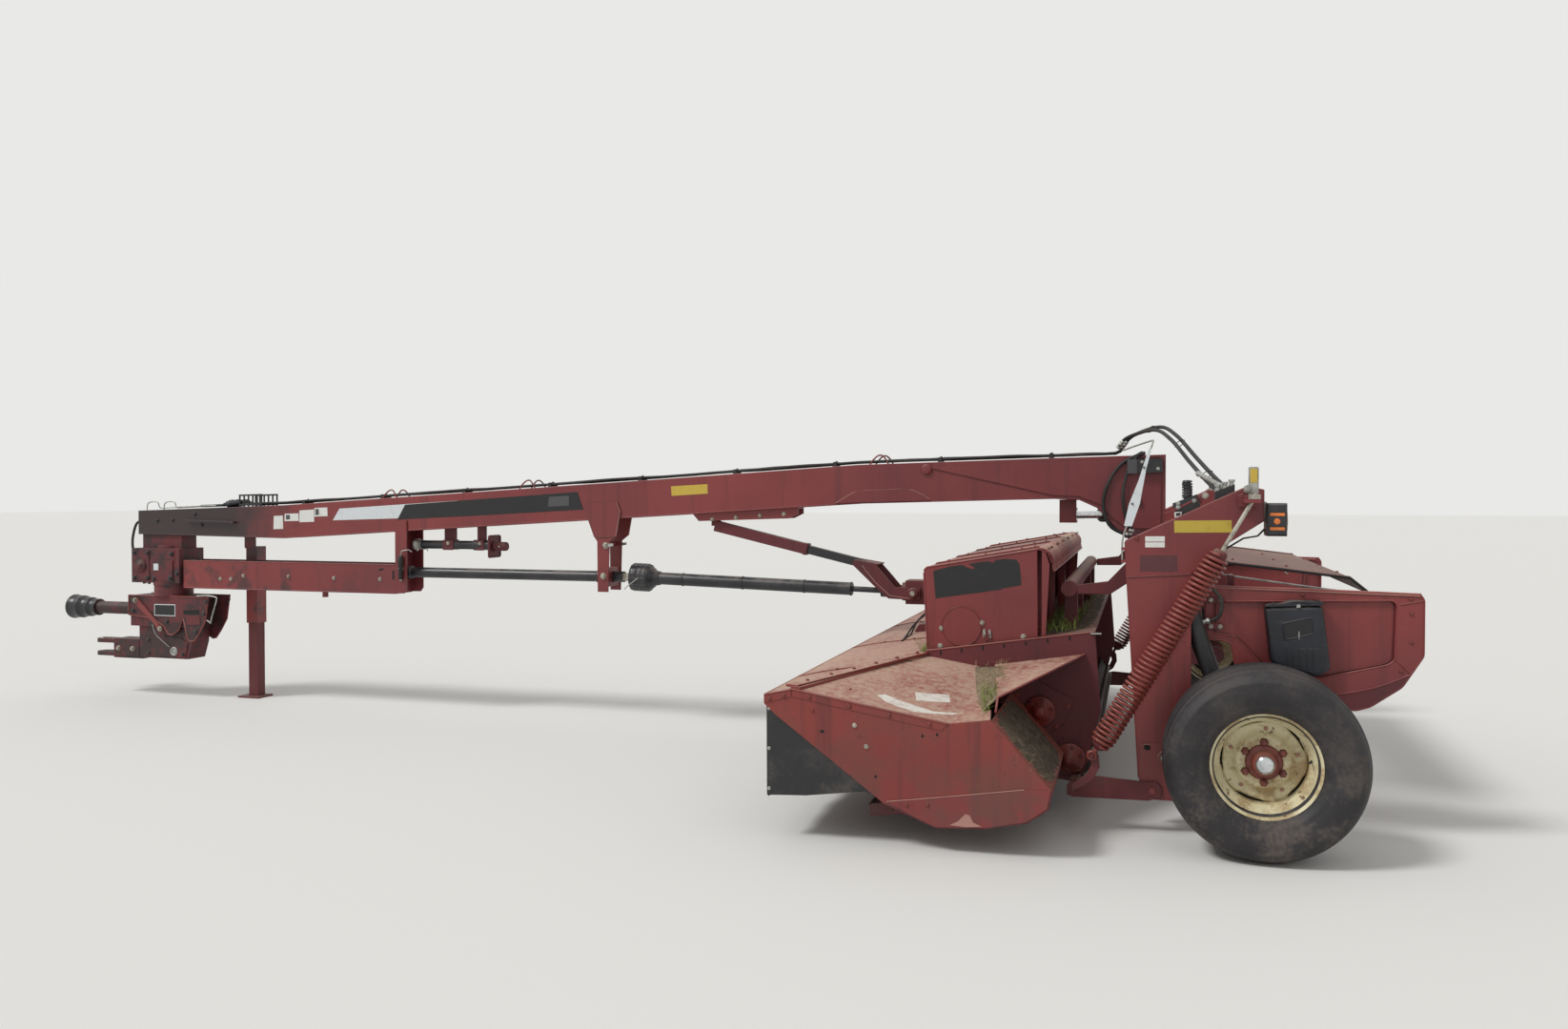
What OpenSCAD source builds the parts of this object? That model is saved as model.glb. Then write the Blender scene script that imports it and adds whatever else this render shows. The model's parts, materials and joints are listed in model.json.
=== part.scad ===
// Centre-pivot disc mower conditioner, as it stands parked with its tongue straight ahead.
// X runs from the hitch to the rear, Y to the machine's right-hand side and Z up; the ground is z = 0.
// Every module is drawn around the tongue's pivot and then moved by at_pivot().

/* [Overall] */
// Distance from the tongue's pivot forward to the tip of the input shaft's guard
front_reach = 7770; // [7600:10:8000]
// Distance from the tongue's pivot back to the rear edge of the windrow shields
rear_reach = 1090; // [1085:1:1200]
// Half of the header's width, over its end panels
header_half = 2150; // [2100:10:2250]
// Height of the tongue's pivot seat above the ground
seat_z = 1236; // [1230:1:1245]

/* [Wheels] */
// Outer diameter of a tyre
tyre_od = 787; // [760:1:800]
// Section width of a tyre
tyre_w = 343; // [300:1:350]
// Outer diameter of the rim's flange
rim_od = 416; // [400:1:430]
// Wheel centre behind the pivot
wheel_x = 440; // [430:1:460]
// Middle of the tyre from the centre line
wheel_y = 1806; // [1800:1:1830]
// Number of wheel bolts
wheel_bolts = 6; // [5:1:8]

/* [Trail frame] */
// Centre of a leg from the centre line
leg_y = 1530; // [1520:1:1535]
// Width of a leg across the machine
leg_w = 140; // [130:1:150]
// Thickness of a leg's plates
leg_t = 10; // [8:1:12]
// Side of the square cross tube
cross_h = 200; // [180:1:200]
// Wall of the cross tube
cross_t = 10; // [8:1:14]
// Radius of the tongue's pivot pin
pivot_r = 38; // [30:1:42]

/* [Wheel arms] */
// Middle of an arm and its lift cylinder from the centre line
lift_y = 1548; // [1540:1:1550]
// Arm pivot, x and z
arm_x = 60; // [50:1:70]
arm_z = 340; // [330:1:350]
// Thickness of an arm
arm_t = 60; // [50:1:70]
// Radius of an arm's pivot pin
arm_pin_r = 25; // [20:1:30]
// Radius of a wheel spindle
spindle_r = 32; // [25:1:36]
// Outer radius of a lift cylinder's barrel
lift_r = 38; // [34:1:42]

/* [Tongue] */
// Depth of the tongue's box beam
beam_h = 229; // [220:1:235]
// Width of the tongue's box beam
beam_w = 178; // [160:1:190]
// Wall of the tongue's box beam
beam_t = 8; // [6:1:10]
// Front end of the beam from the pivot
beam_front = 7071; // [7040:1:7100]
// Rear end of the beam behind the pivot
beam_rear = 85; // [80:1:100]

/* [Drive line] */
// Centre of the front shaft above the ground
shaft_z = 950; // [945:1:955]
// Outer radius of the front shaft's guard tube
shaft_r = 35; // [30:1:40]
// Outer radius of the rear shaft's guard tube
rear_shaft_r = 39; // [38:1:42]
// Universal joint behind the carrier, from the pivot
joint_x = 3130; // [3120:1:3140]
// Swivel axis of the header's gearbox, from the pivot
gearbox_x = 1120; // [1110:1:1130]

/* [Hitch] */
// Swivel axis of the hitch, from the pivot
hitch_x = 6840; // [6830:1:6850]
// Radius of the bore for the drawbar pin
clevis_bore_r = 16; // [12:1:20]
// Height of the clevis's middle above the ground
clevis_z = 345; // [340:1:360]
// Radius of the input yoke's bore
yoke_bore_r = 17.5; // [15:0.5:22]
// Height of the input shaft above the ground
input_z = 636; // [630:1:645]

/* [Header] */
// How far the header leans nose-down, in degrees
header_tilt = 9; // [8:0.5:10]
// Number of cutting discs
disc_n = 10; // [8:2:10]
// Distance between discs
disc_pitch = 396; // [390:1:400]
// Reach of a knife's tip from its disc's axis
knife_reach = 245; // [235:1:250]
// Half of the conditioner's inner width
cond_half = 1350; // [1340:1:1360]
// Half of the hood's width
hood_half = 1300; // [1290:1:1310]
// Thickness of the header's sheet metal
sheet_t = 5; // [3:1:6]
// Thickness of the rubber curtain
rubber_t = 6; // [4:1:8]
// Outer radius of a conditioning roll
roll_r = 119; // [110:1:120]

/* [Parking stand] */
// Stand's axis from the pivot, and from the centre line
stand_x = 6240; // [6220:1:6260]
stand_y = 152; // [150:1:160]
// Side of the stand's inner square leg
stand_s = 76; // [70:1:80]
// Length of the stand's inner leg
stand_len = 685; // [660:5:690]

/* [Hidden] */

pivot_x = (front_reach - rear_reach) / 2;
gap = 5;
pin_gap = 0.5;
seat = 0.3;
round_fn = 48;

oxide_red = "#8c4040";
dark_red = "#5f2a2e";
black = "#202022";
cream = "#d8d0b0";
steel = "#9a9a98";

// Moves what is drawn around the tongue's pivot to its place in the part.
module at_pivot() {
    translate([pivot_x, 0, 0]) children();
}

// Draws the left-hand side and its mirror image.
module both_sides() {
    children();
    mirror([0, 1, 0]) children();
}

// Draws an x-z outline as a plate between y0 and y0 + t.
module side_plate(y0, t) {
    translate([0, y0 + t, 0]) rotate([90, 0, 0]) linear_extrude(t) children();
}

// A round bar across the machine from y0 to y1.
module cross_bar(x, z, r, y0, y1) {
    translate([x, y1, z]) rotate([90, 0, 0]) cylinder(h = y1 - y0, r = r, $fn = round_fn);
}

// A round bar from point a to point b.
module bar(a, b, r, fn = round_fn) {
    d = b - a;
    len = norm(d);
    translate(a) rotate([0, acos(d[2] / len), atan2(d[1], d[0])]) cylinder(h = len, r = r, $fn = fn);
}

// A block given by its low corner and its high corner.
module block(low, high) {
    translate(low) cube(high - low);
}

// Twice the area of the corners in plan, positive when they run anticlockwise seen from above.
function cross_at(c, i, j) = c[i][0] * c[j][1] - c[j][0] * c[i][1];
function plan_area(c) =
    let (n = len(c)) [for (i = [0 : n - 1]) cross_at(c, i, (i + 1) % n)] * [for (p = c) 1];
function clockwise(c) = plan_area(c) > 0 ? [for (i = [len(c) - 1 : -1 : 0]) c[i]] : c;

// A sheet through three or four corners, in triangles, with a thickness measured straight down.
module facet(corners, t) {
    n = len(corners);
    high = clockwise(corners);
    low = [for (c = high) c - [0, 0, t]];
    top = [for (i = [1 : n - 2]) [0, i, i + 1]];
    under = [for (i = [1 : n - 2]) [n, n + i + 1, n + i]];
    sides = [for (i = [0 : n - 1]) [(i + 1) % n, i, n + i, n + (i + 1) % n]];
    polyhedron(points = concat(high, low), faces = concat(top, under, sides));
}

// Points on a smooth curve through the chosen points, with steps points between each pair.
function curve_point(p0, p1, p2, p3, t) =
    0.5 * (2 * p1 + (p2 - p0) * t + (2 * p0 - 5 * p1 + 4 * p2 - p3) * t * t
    + (3 * p1 - p0 - 3 * p2 + p3) * t * t * t);
function curve(p, steps) =
    let (n = len(p))
    concat([for (i = [0 : n - 2]) for (s = [0 : steps - 1])
        curve_point(p[max(i - 1, 0)], p[i], p[i + 1], p[min(i + 2, n - 1)], s / steps)], [p[n - 1]]);
function unit(v) = v / norm(v);
function heading(p, i) = unit(p[min(i + 1, len(p) - 1)] - p[max(i - 1, 0)]);

// A hose of radius r along a smooth curve through the chosen points, which never runs along the side axis.
module hose(route, r, steps = 4, sides = 8, side = [0, 0, 1]) {
    path = curve(route, steps);
    n = len(path);
    rings = [for (i = [0 : n - 1])
        let (d = heading(path, i), u = unit(cross(d, side)), v = cross(d, u))
        for (k = [0 : sides - 1]) path[i] + r * (cos(360 * k / sides) * u + sin(360 * k / sides) * v)];
    walls = [for (i = [0 : n - 2]) for (k = [0 : sides - 1])
        [i * sides + k, (i + 1) * sides + k, (i + 1) * sides + (k + 1) % sides, i * sides + (k + 1) % sides]];
    start = [[for (k = [0 : sides - 1]) k]];
    end = [[for (k = [sides - 1 : -1 : 0]) (n - 1) * sides + k]];
    polyhedron(points = rings, faces = concat(walls, start, end));
}

// Trail frame

leg_in = leg_y - leg_w / 2;
leg_out = leg_y + leg_w / 2;
cross_x0 = -60;
cross_top = seat_z - 36;
// Outline of a leg's side plate in x and z, from its top front corner round to its lower front corner.
leg_outline = [[-108, 1275], [389, 1511], [457, 1495], [457, 1366], [329, 1280], [165, 1140],
    [172, 230], [130, 150], [-30, 150], [-45, 240]];
axle_z = tyre_od / 2;
// Where a lift cylinder is pinned: to the leg above, and to the arm below, in x and z.
lift_top = [160, 980];
lift_foot = [335, 460];
lift_eye_r = 34;
lift_half = 19;
lift_pin_r = 16;

module cross_frame() at_pivot() color(oxide_red) {
    difference() {
        block([cross_x0, -leg_in, cross_top - cross_h], [cross_x0 + cross_h, leg_in, cross_top]);
        block([cross_x0 + cross_t, -leg_y, cross_top - cross_h + cross_t],
            [cross_x0 + cross_h - cross_t, leg_y, cross_top - cross_t]);
    }
    // Turret that carries the tongue, and its pin.
    translate([0, 0, cross_top]) cylinder(h = seat_z - cross_top - seat, r = 118, $fn = round_fn);
    translate([0, 0, cross_top]) cylinder(h = 120, r = pivot_r, $fn = round_fn);
    // Post, boss and pin of the swing cylinder's barrel.
    block([swing_base[0] - 45, swing_base[1] - 50, cross_top - 1],
        [swing_base[0] + 45, swing_base[1] + 50, swing_z - swing_r - gap]);
    translate([swing_base[0], swing_base[1], cross_top]) {
        cylinder(h = swing_z - swing_half - seat - cross_top, r = 22, $fn = round_fn);
        cylinder(h = swing_z + swing_half + 10 - cross_top, r = swing_pin_r, $fn = round_fn);
    }
    // Brackets that carry the swath board's hinge.
    for (s = [-1, 1]) difference() {
        side_plate(s * swath_hinge_y - 6, 12)
            polygon([[cross_x0 + cross_h - 1, cross_top - 120], [swath_x + 24, swath_z - 40],
            [swath_x + 24, swath_z + 24], [swath_x - 24, swath_z + 24],
            [cross_x0 + cross_h - 1, cross_top - 10]]);
        cross_bar(swath_x, swath_z, swath_pin_r + pin_gap, s * swath_hinge_y - 10,
            s * swath_hinge_y + 10);
    }
}

module leg_shape() {
    for (y = [-leg_out, -leg_in - leg_t]) difference() {
        side_plate(y, leg_t) polygon(leg_outline);
        translate([0, y - 1, 375]) rotate([-90, 0, 0]) cylinder(h = leg_t + 2, r = 16, $fn = round_fn);
    }
    // Front and top plates that close the box.
    side_plate(-leg_out, leg_w)
        polygon([[-108, 1275], [-45, 240], [-45 + leg_t, 240], [-108 + leg_t, 1275]]);
    side_plate(-leg_out, leg_w)
        polygon([[-108, 1275], [389, 1511], [389, 1511 - leg_t], [-98, 1275 - leg_t]]);
    side_plate(-leg_out, leg_w)
        polygon([[389, 1511], [457, 1495], [457, 1366], [457 - leg_t, 1370], [447, 1486], [389, 1501]]);
    // Pins of the wheel arm, the lift cylinder and the lower link.
    cross_bar(arm_x, arm_z, arm_pin_r, -leg_out - 12, -leg_in + 6);
    cross_bar(lift_top[0], lift_top[1], lift_pin_r, -leg_out - 8, -leg_in - 1);
    cross_bar(lower_link_rear[0], lower_link_rear[1], link_pin_r, -leg_out - 18, -leg_in - 1);
    // Ears behind the leg that carry the lift cylinder's pin.
    for (y = [-leg_out, -leg_in - leg_t]) side_plate(y, leg_t)
        polygon([[150, 1060], [182, 1010], [182, 950], [150, 900]]);
    // Outer bracket with the hole that the flotation spring's rod goes through.
    difference() {
        block([rod_top[0] - 34, -spring_y - 32, rod_top[2] - 12],
            [rod_top[0] + 30, -leg_out + 1, rod_top[2] + 4]);
        translate([rod_hole, -spring_y, rod_top[2] - 20]) cylinder(h = 40, r = 17, $fn = round_fn);
    }
    // Vertical pin that the windrow shield swings on, between its two lugs.
    translate([shield_x, -shield_y, 870]) cylinder(h = 182, r = shield_pin_r, $fn = round_fn);
    for (z = [870, 1040]) block([150, -shield_y - 14, z], [shield_x + 14, -shield_y + 14, z + 12]);
}

module frame_legs() at_pivot() color(oxide_red) both_sides() leg_shape();

// Header suspension: upper arms, lower links and flotation springs

lower_link_rear = [10, 190];
lower_link_front = [-325, 168];
link_pin_r = 15;
header_tube = [-368, 1032];
header_tube_r = 38;
arm_link_y = cond_half - 150;
spring_y = 1722;
// Spring line on the left-hand side: the rod's top, the coil's ends and the lower eye.
rod_top = [402, -spring_y, 1455];
coil_top = [272, -spring_y, 1224];
coil_low = [-208, -spring_y, 399];
eye_low = [-240, -spring_y, 352];
coil_r = 53;
coil_wire = 13;
coil_n = 44;
rod_hole = rod_top[0] - (rod_top[0] - coil_top[0]) * 4 / (rod_top[2] - coil_top[2]);

module header_links() at_pivot() color(oxide_red) both_sides() {
    // Upper arm from the header's tube to the cross tube, bent once.
    side_plate(-arm_link_y - 8, 16)
        polygon([[header_tube[0] + header_tube_r + seat, 1008], [-178, 1010], [-109, 1058],
        [cross_x0, 1090], [cross_x0, 1190], [-100, 1168], [-190, 1070],
        [header_tube[0] + header_tube_r + seat, 1050]]);
    // Lower link from the leg to the header's foot.
    difference() {
        side_plate(-leg_out - 16, 14)
            polygon([[-350, 150], [-325, 142], [-5, 148], [46, 165], [52, 205], [30, 230], [-40, 229],
            [-229, 240], [-330, 215], [-352, 190]]);
        cross_bar(lower_link_rear[0], lower_link_rear[1], link_pin_r + pin_gap, -leg_out - 30,
            -leg_out);
        cross_bar(lower_link_front[0], lower_link_front[1], link_pin_r + pin_gap, -leg_out - 30,
            -leg_out);
    }
    // Curved flat arm that the spring's eye hooks on, and its pin.
    side_plate(-spring_y + 12, 14)
        polygon([[-262, 366], [-232, 376], [-212, 350], [-208, 300], [-232, 250], [-290, 206],
        [-325, 190], [-325, 218], [-310, 230], [-262, 268], [-242, 310]]);
    cross_bar(-303, 212, 12, -spring_y + 13, -leg_out - 10);
    cross_bar(eye_low[0], eye_low[2], 8.5, -spring_y - 14, -spring_y + 13);
}

// A coil spring as a tube with a ridge for each turn.
module float_springs() at_pivot() color(oxide_red) both_sides() {
    d = coil_low - coil_top;
    len = norm(d);
    pitch = len / coil_n;
    translate(coil_top) rotate([0, acos(d[2] / len), atan2(d[1], d[0])]) {
        rotate_extrude($fn = round_fn)
            polygon(concat([[coil_r - coil_wire, 0]],
            [for (i = [0 : coil_n - 1]) each [[coil_r - coil_wire / 2, i * pitch],
            [coil_r, (i + 0.5) * pitch]]], [[coil_r - coil_wire / 2, len], [coil_r - coil_wire, len]]));
        cylinder(h = 14, r = coil_r - coil_wire + 3, $fn = round_fn);
        translate([0, 0, len - 14]) cylinder(h = 14, r = coil_r - coil_wire + 3, $fn = round_fn);
    }
    difference() {
        union() {
            bar(coil_low, eye_low, 9);
            cross_bar(eye_low[0], eye_low[2], 22, -spring_y - 10, -spring_y + 10);
        }
        cross_bar(eye_low[0], eye_low[2], 9, -spring_y - 30, -spring_y + 30);
    }
}

module spring_rods() at_pivot() color(steel) both_sides() {
    d = unit(rod_top - coil_top);
    bar(coil_top + seat * d, coil_top + (norm(rod_top - coil_top) + 30) * d, 9);
    translate([rod_hole + 8, -spring_y, rod_top[2] + 4 + seat]) cylinder(h = 20, r = 24, $fn = 6);
}

// Lights and small fittings on the legs

lamp_y0 = -1640;
lamp_y1 = -1470;

module light_brackets() at_pivot() both_sides() {
    color(steel) block([393, -leg_out - 6, 1459], [434, -leg_out, 1596]);
    color(steel) block([457 + seat, -1560, 1420], [467, -1500, 1450]);
    color(black) difference() {
        block([466, lamp_y0, 1303], [543, lamp_y1, 1443]);
        for (z = [1322, 1408]) block([475, lamp_y0 - 5, z], [536, lamp_y0 + 3, z + 14]);
    }
}

module valve_block() at_pivot() color(black) {
    side_plate(-leg_y - 30, 60)
        polygon([[100, leg_top(100) + seat], [205, leg_top(205) + seat], [190, 1480], [90, 1440]]);
    // Ringed knob on top of it.
    translate([150, -leg_y, 1440]) rotate_extrude($fn = round_fn)
        polygon(concat([[0, 0], [15, 0]], [for (i = [0 : 4]) each [[15, 32 + i * 12], [22, 32 + i * 12],
        [22, 39 + i * 12], [15, 39 + i * 12]]], [[15, 94], [0, 94]]));
    // Bulkhead that the hoses end in.
    side_plate(-leg_y + 8, 40)
        polygon([[265, leg_top(265) + seat], [345, leg_top(345) + seat], [345, 1522], [265, 1492]]);
}

// Height of a leg's sloping top at x.
function leg_top(x) = lookup(x, [leg_outline[0], leg_outline[1]]);

// Routes of the hoses between the tongue's top and the left-hand leg, held at both ends.
hose_r = 10;
arch_routes = [[[-170, -20, 1745], [-120, -40, 1800], [20, -160, 1835], [100, -480, 1770],
    [180, -900, 1640], [240, -1250, 1545], [288, -1478.4, 1484]], [[-150, 20, 1745], [-90, -10, 1812],
    [50, -130, 1852], [130, -450, 1790], [215, -900, 1655], [275, -1250, 1560], [322, -1478.4, 1498]]];

module frame_hoses() at_pivot() color(black) {
    for (route = arch_routes) hose(route, hose_r, 3);
}

// Header

deck_front = -1586;
deck_z = 621;
hood_front = -1030;
deck_rear = -242;
disc_x = -1000;
disc_z = 150;
roll_up = [-487, 471];
roll_low = [-353, 261];
// Outline of an end panel in x and z, from its top front corner round by its lower edge.
end_outline = [[-1586, 621], [-1586, 580], [-1539, 537], [-1061, 187], [-844, 105], [-640, 118],
    [-475, 155], [-392, 215], [-377, 289], [-617, 560], [-789, 538], [-1461, 650]];

module header_frame() at_pivot() color(dark_red) {
    // Sides of the conditioner, with their slots along the upper rail.
    both_sides() difference() {
        side_plate(-cond_half - sheet_t, sheet_t)
            polygon([[hood_front, deck_z_at(hood_front) - 24], [hood_front, deck_z_at(hood_front)],
            [deck_rear, deck_z_at(deck_rear)], [-215, 480], [-290, 190], [-345, 150], [-560, 170],
            [-650, 420], [-703, 640]]);
        for (p = [roll_up, roll_low]) cross_bar(p[0], p[1], 45, -cond_half - 20, -cond_half + 20);
        for (i = [0 : 6]) side_plate(-cond_half - 20,
            40) translate([-960 + i * 100, deck_z_at(-960 + i * 100) - 26]) square([8, 18]);
    }
    // Deck under the hood and down behind it.
    side_plate(-cond_half - 1, 2 * cond_half + 2)
        polygon([[hood_front, deck_z_at(hood_front) - sheet_t], [hood_front, deck_z_at(hood_front)],
        [deck_rear, deck_z_at(deck_rear)], [deck_rear, deck_z_at(deck_rear) - sheet_t]]);
    // Cross tube that the upper arms hold, on its posts.
    cross_bar(header_tube[0], header_tube[1], header_tube_r, -arm_link_y - 8, arm_link_y + 8);
    for (y = [-arm_link_y + 150, -520, 460, arm_link_y - 210])
        block([header_tube[0] - 30, y, deck_z_at(header_tube[0] - 30) - 2],
        [header_tube[0] + 30, y + 60, header_tube[1] - header_tube_r + 20]);
    // Lower cross tube behind the discs, with its brackets under them to the cutterbar.
    block([low_tube_x, -cond_half - 1, 196], [low_tube_x + 80, cond_half + 1, 276]);
    for (i = [-3 : 3]) side_plate(i * disc_pitch - 30, 60)
        polygon([on_bar(bar_w / 2 + seat, -18), on_bar(bar_w / 2 + seat, 18), [low_tube_x + 10, 232],
        [low_tube_x + 10, 200]]);
    // Outriggers and pins that the lower links hold.
    both_sides() {
        block([lower_link_front[0] - 20, -leg_out + 6, 148],
            [lower_link_front[0] + 20, -cond_half - 1, 186]);
        cross_bar(lower_link_front[0], lower_link_front[1], link_pin_r, -leg_out - 18, -leg_out + 8);
    }
}

// Height of the conditioner's deck at x.
function deck_z_at(x) = 728 + (x - hood_front) * 0.15;
// A point on the tilted cutterbar's cross-section, as x and z.
function on_bar(u, v) = [disc_x + u * cos(header_tilt) - v * sin(header_tilt),
    disc_z + u * sin(header_tilt) + v * cos(header_tilt)];
low_tube_x = -738;
carrier_t = 13;
bearing_t = 16;
carrier_out = cond_half + sheet_t + 1 + carrier_t + bearing_t;

module roll_carriers() at_pivot() color(dark_red) both_sides() {
    y = -cond_half - sheet_t - carrier_t - seat;
    plates = [[[-628, 579], [-518, 620], [-332, 527], [-383, 414], [-480, 345], [-600, 380]],
        [[-440, 300], [-383, 345], [-300, 320], [-270, 250], [-300, 196], [-420, 200]]];
    for (i = [0, 1]) {
        p = [roll_up, roll_low][i];
        difference() {
            union() {
                side_plate(y, carrier_t) polygon(plates[i]);
                cross_bar(p[0], p[1], 60, y - bearing_t, y + 1);
            }
            cross_bar(p[0], p[1], roll_axle_r + pin_gap, y - 40, y + 40);
        }
    }
}

// The top cover's edge runs back along the deck and then in along each bolted flange.
cover_corner = [-1461, 650];
// Outer end of the cover's rear wing, from the centre line.
wing_y = header_half - 100;

module top_cover() at_pivot() color(oxide_red) {
    side = header_half - sheet_t - seat;
    cond_side = cond_half + sheet_t + seat;
    rear = hood_front - seat;
    intersection() {
        translate([0, 0, 500]) linear_extrude(400)
            polygon([[deck_front, -side], [cover_corner[0], -side], [rear, -cond_side],
            [rear, cond_side], [cover_corner[0], side], [deck_front, side]]);
        side_plate(-header_half, 2 * header_half)
            polygon([[deck_front, deck_z], cover_corner, [hood_front, cover_z(hood_front)],
            [hood_front, cover_z(hood_front) - sheet_t], [cover_corner[0], cover_corner[1] - sheet_t],
            [deck_front, deck_z - sheet_t]]);
    }
    // Front lip.
    block([deck_front, -side, deck_z - 40], [deck_front + sheet_t, side, deck_z - 1]);
    both_sides() {
        inner = [rear, -cond_side, cover_z(rear)];
        outer = [cover_corner[0], -side, cover_corner[1]];
        low = [-789, -side, 538];
        high = [-703, -cond_side, 653];
        facet([outer, inner, high, low], sheet_t);
        facet([low, high, [-622, -side, 562]], sheet_t);
        // Rear wing that leans down from the conditioner's side.
        facet([[-700, -cond_side, 676], [-285, -cond_side, 742], [-606, -wing_y, 640]], sheet_t);
        facet([[-700, -cond_side, 676], [-606, -wing_y, 640], [-612, -wing_y - 10, 575],
            [-703, -cond_side, 660]], sheet_t);
        // Raised flange that is bolted along the cover's edge.
        facet([outer + [-8, 0, 8], inner + [-40, 0, 3], inner + [-2, 0, 8], outer + [34, 0, 8]], 12);
    }
}

// Height of the top cover behind its corner at x.
function cover_z(x) = cover_corner[1] + (x - cover_corner[0]) * 0.1323;

skid_w = 60;

module end_panels() at_pivot() color(oxide_red) both_sides() {
    side_plate(-header_half, sheet_t) polygon(end_outline);
    // Rear wall of the box over the outer disc.
    side_plate(-header_half + sheet_t - 1, header_half - sheet_t + 1 - carrier_out - seat)
        polygon([[-617, 560], [-377, 289], [-392, 215], [-397, 217], [-383, 287], [-620, 554]]);
    // Skid flange along the lower edge.
    side_plate(-header_half + sheet_t - 1, skid_w + 1)
        polygon([[-1061, 192], [-844, 110], [-640, 123], [-475, 160], [-475, 166], [-640, 129],
        [-844, 116], [-1061, 199]]);
}

module curtain() at_pivot() color(black) {
    x = deck_front + sheet_t + seat;
    y = header_half - sheet_t - seat;
    block([x, -y, 180], [x + rubber_t, y, deck_z - 8]);
    both_sides() side_plate(-y, rubber_t)
        polygon([[x, 580], [x, 182], [-1143, 225], [-1085, 208], [-1530, 545]]);
}

// Hood

hood_top = [[-1050, 1124], [-513, 1219]];
hood_low = [[-1030, deck_z_at(-1030) + seat], [-509, deck_z_at(-509) + seat]];
notch_half = 190;
// Centre and radius of the round cover on the hood's left-hand end plate.
hood_cover = [-865, 847];
hood_cover_r = 92;

module hood() at_pivot() color(oxide_red) {
    both_sides() {
        side_plate(-hood_half, sheet_t)
            polygon([hood_low[0], hood_low[1], hood_top[1], [-1036, 1126], [-1048, 1108]]);
        // Folded rear edge of the end plate.
        side_plate(-hood_half + sheet_t, 45)
            polygon([hood_low[1] - [5, 0.5], hood_low[1], hood_top[1], [-518, 1218]]);
    }
    difference() {
        union() {
            // Top sheet with its rounded rear edge.
            side_plate(-hood_half, 2 * hood_half)
                polygon([[-1048, 1116], [-1034, 1129], [-500, 1224], [-460, 1210], [-440, 1160],
                [-445, 1158], [-464, 1205], [-502, 1218], [-1032, 1123], [-1044, 1112]]);
            // Front sheet.
            side_plate(-hood_half, 2 * hood_half)
                polygon([[-1050, 1118], hood_low[0], hood_low[0] + [sheet_t, 1],
                [-1050 + sheet_t, 1118]]);
        }
        block([-1100, -notch_half, 700], [-1020, notch_half, 1090]);
    }
    // Rear posts with their square holes.
    for (y = [-hood_half + 120, -480, 420, hood_half - 180]) difference() {
        side_plate(y, 60) polygon([[-530, deck_z_at(-530) + seat], [-490, deck_z_at(-490) + seat],
            [-490, 1221], [-530, 1214]]);
        for (z = [880, 1040]) block([-600, y + 18, z], [-400, y + 42, z + 60]);
    }
    // Round cover on the left-hand end plate.
    cross_bar(hood_cover[0], hood_cover[1], hood_cover_r, -hood_half - 4, -hood_half);
}

// Cutterbar and discs

// Leans a shape nose-down with the header about the cutterbar's axis.
module on_cutterbar() {
    translate([disc_x, 0, disc_z]) rotate([0, -header_tilt, 0]) children();
}

bar_w = 300;
bar_half = (disc_n - 1) / 2 * disc_pitch + knife_reach + 12;
bar_h = 54;
hub_r = 66;
plate_l = 190;
plate_w = 130;

module cutterbar() at_pivot() color(dark_red) {
    on_cutterbar() {
        block([-bar_w / 2, -bar_half, -bar_h / 2], [bar_w / 2, bar_half, bar_h / 2]);
        // A skid shoe under each disc.
        for (i = [0 : disc_n - 1]) side_plate((i - (disc_n - 1) / 2) * disc_pitch - 130, 260)
            polygon([[-160, -bar_h / 2 + 8], [-150, -bar_h / 2 - 6], [-60, -bar_h / 2 - 16],
            [190, -bar_h / 2 - 6], [258, 0], [256, 6], [180, -bar_h / 2], [150, -bar_h / 2 + 4]]);
    }
    // Ends that carry the end panels.
    both_sides() {
        block([-1040, -bar_half - 20, 125], [-900, -bar_half + 1, 232]);
        block([-1030, -header_half + sheet_t + seat, 204], [-910, -bar_half - 19, 232]);
    }
}

// One oval disc with its dome and two knives, timed to pass its neighbours.
module disc(i) at_pivot() color(steel) {
    y = (i - (disc_n + 1) / 2) * disc_pitch;
    turn = i % 2 == 0 ? 0 : 90;
    on_cutterbar() translate([0, y, bar_h / 2 + seat]) rotate([0, 0, turn]) {
        cylinder(h = 34, r = hub_r, $fn = round_fn);
        translate([0, 0, 22]) intersection() {
            cylinder(h = 9, r = plate_l, $fn = round_fn);
            block([-plate_l, -plate_w, -1], [plate_l, plate_w, 10]);
        }
        translate([0, 0, 31]) cylinder(h = 22, r1 = 105, r2 = 60, $fn = round_fn);
        for (s = [0, 180]) rotate([0, 0, s]) {
            block([plate_l - 50, -24, 16], [knife_reach, 24, 21]);
            translate([plate_l - 26, 0, 10]) cylinder(h = 14, r = 15, $fn = round_fn);
        }
    }
}

module disc_1() disc(1);
module disc_2() disc(2);
module disc_3() disc(3);
module disc_4() disc(4);
module disc_5() disc(5);
module disc_6() disc(6);
module disc_7() disc(7);
module disc_8() disc(8);
module disc_9() disc(9);
module disc_10() disc(10);

// Conditioning rolls

roll_axle_r = 25;
roll_half = cond_half - 30;
rib_n = 12;
rib_h = 16;

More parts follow.
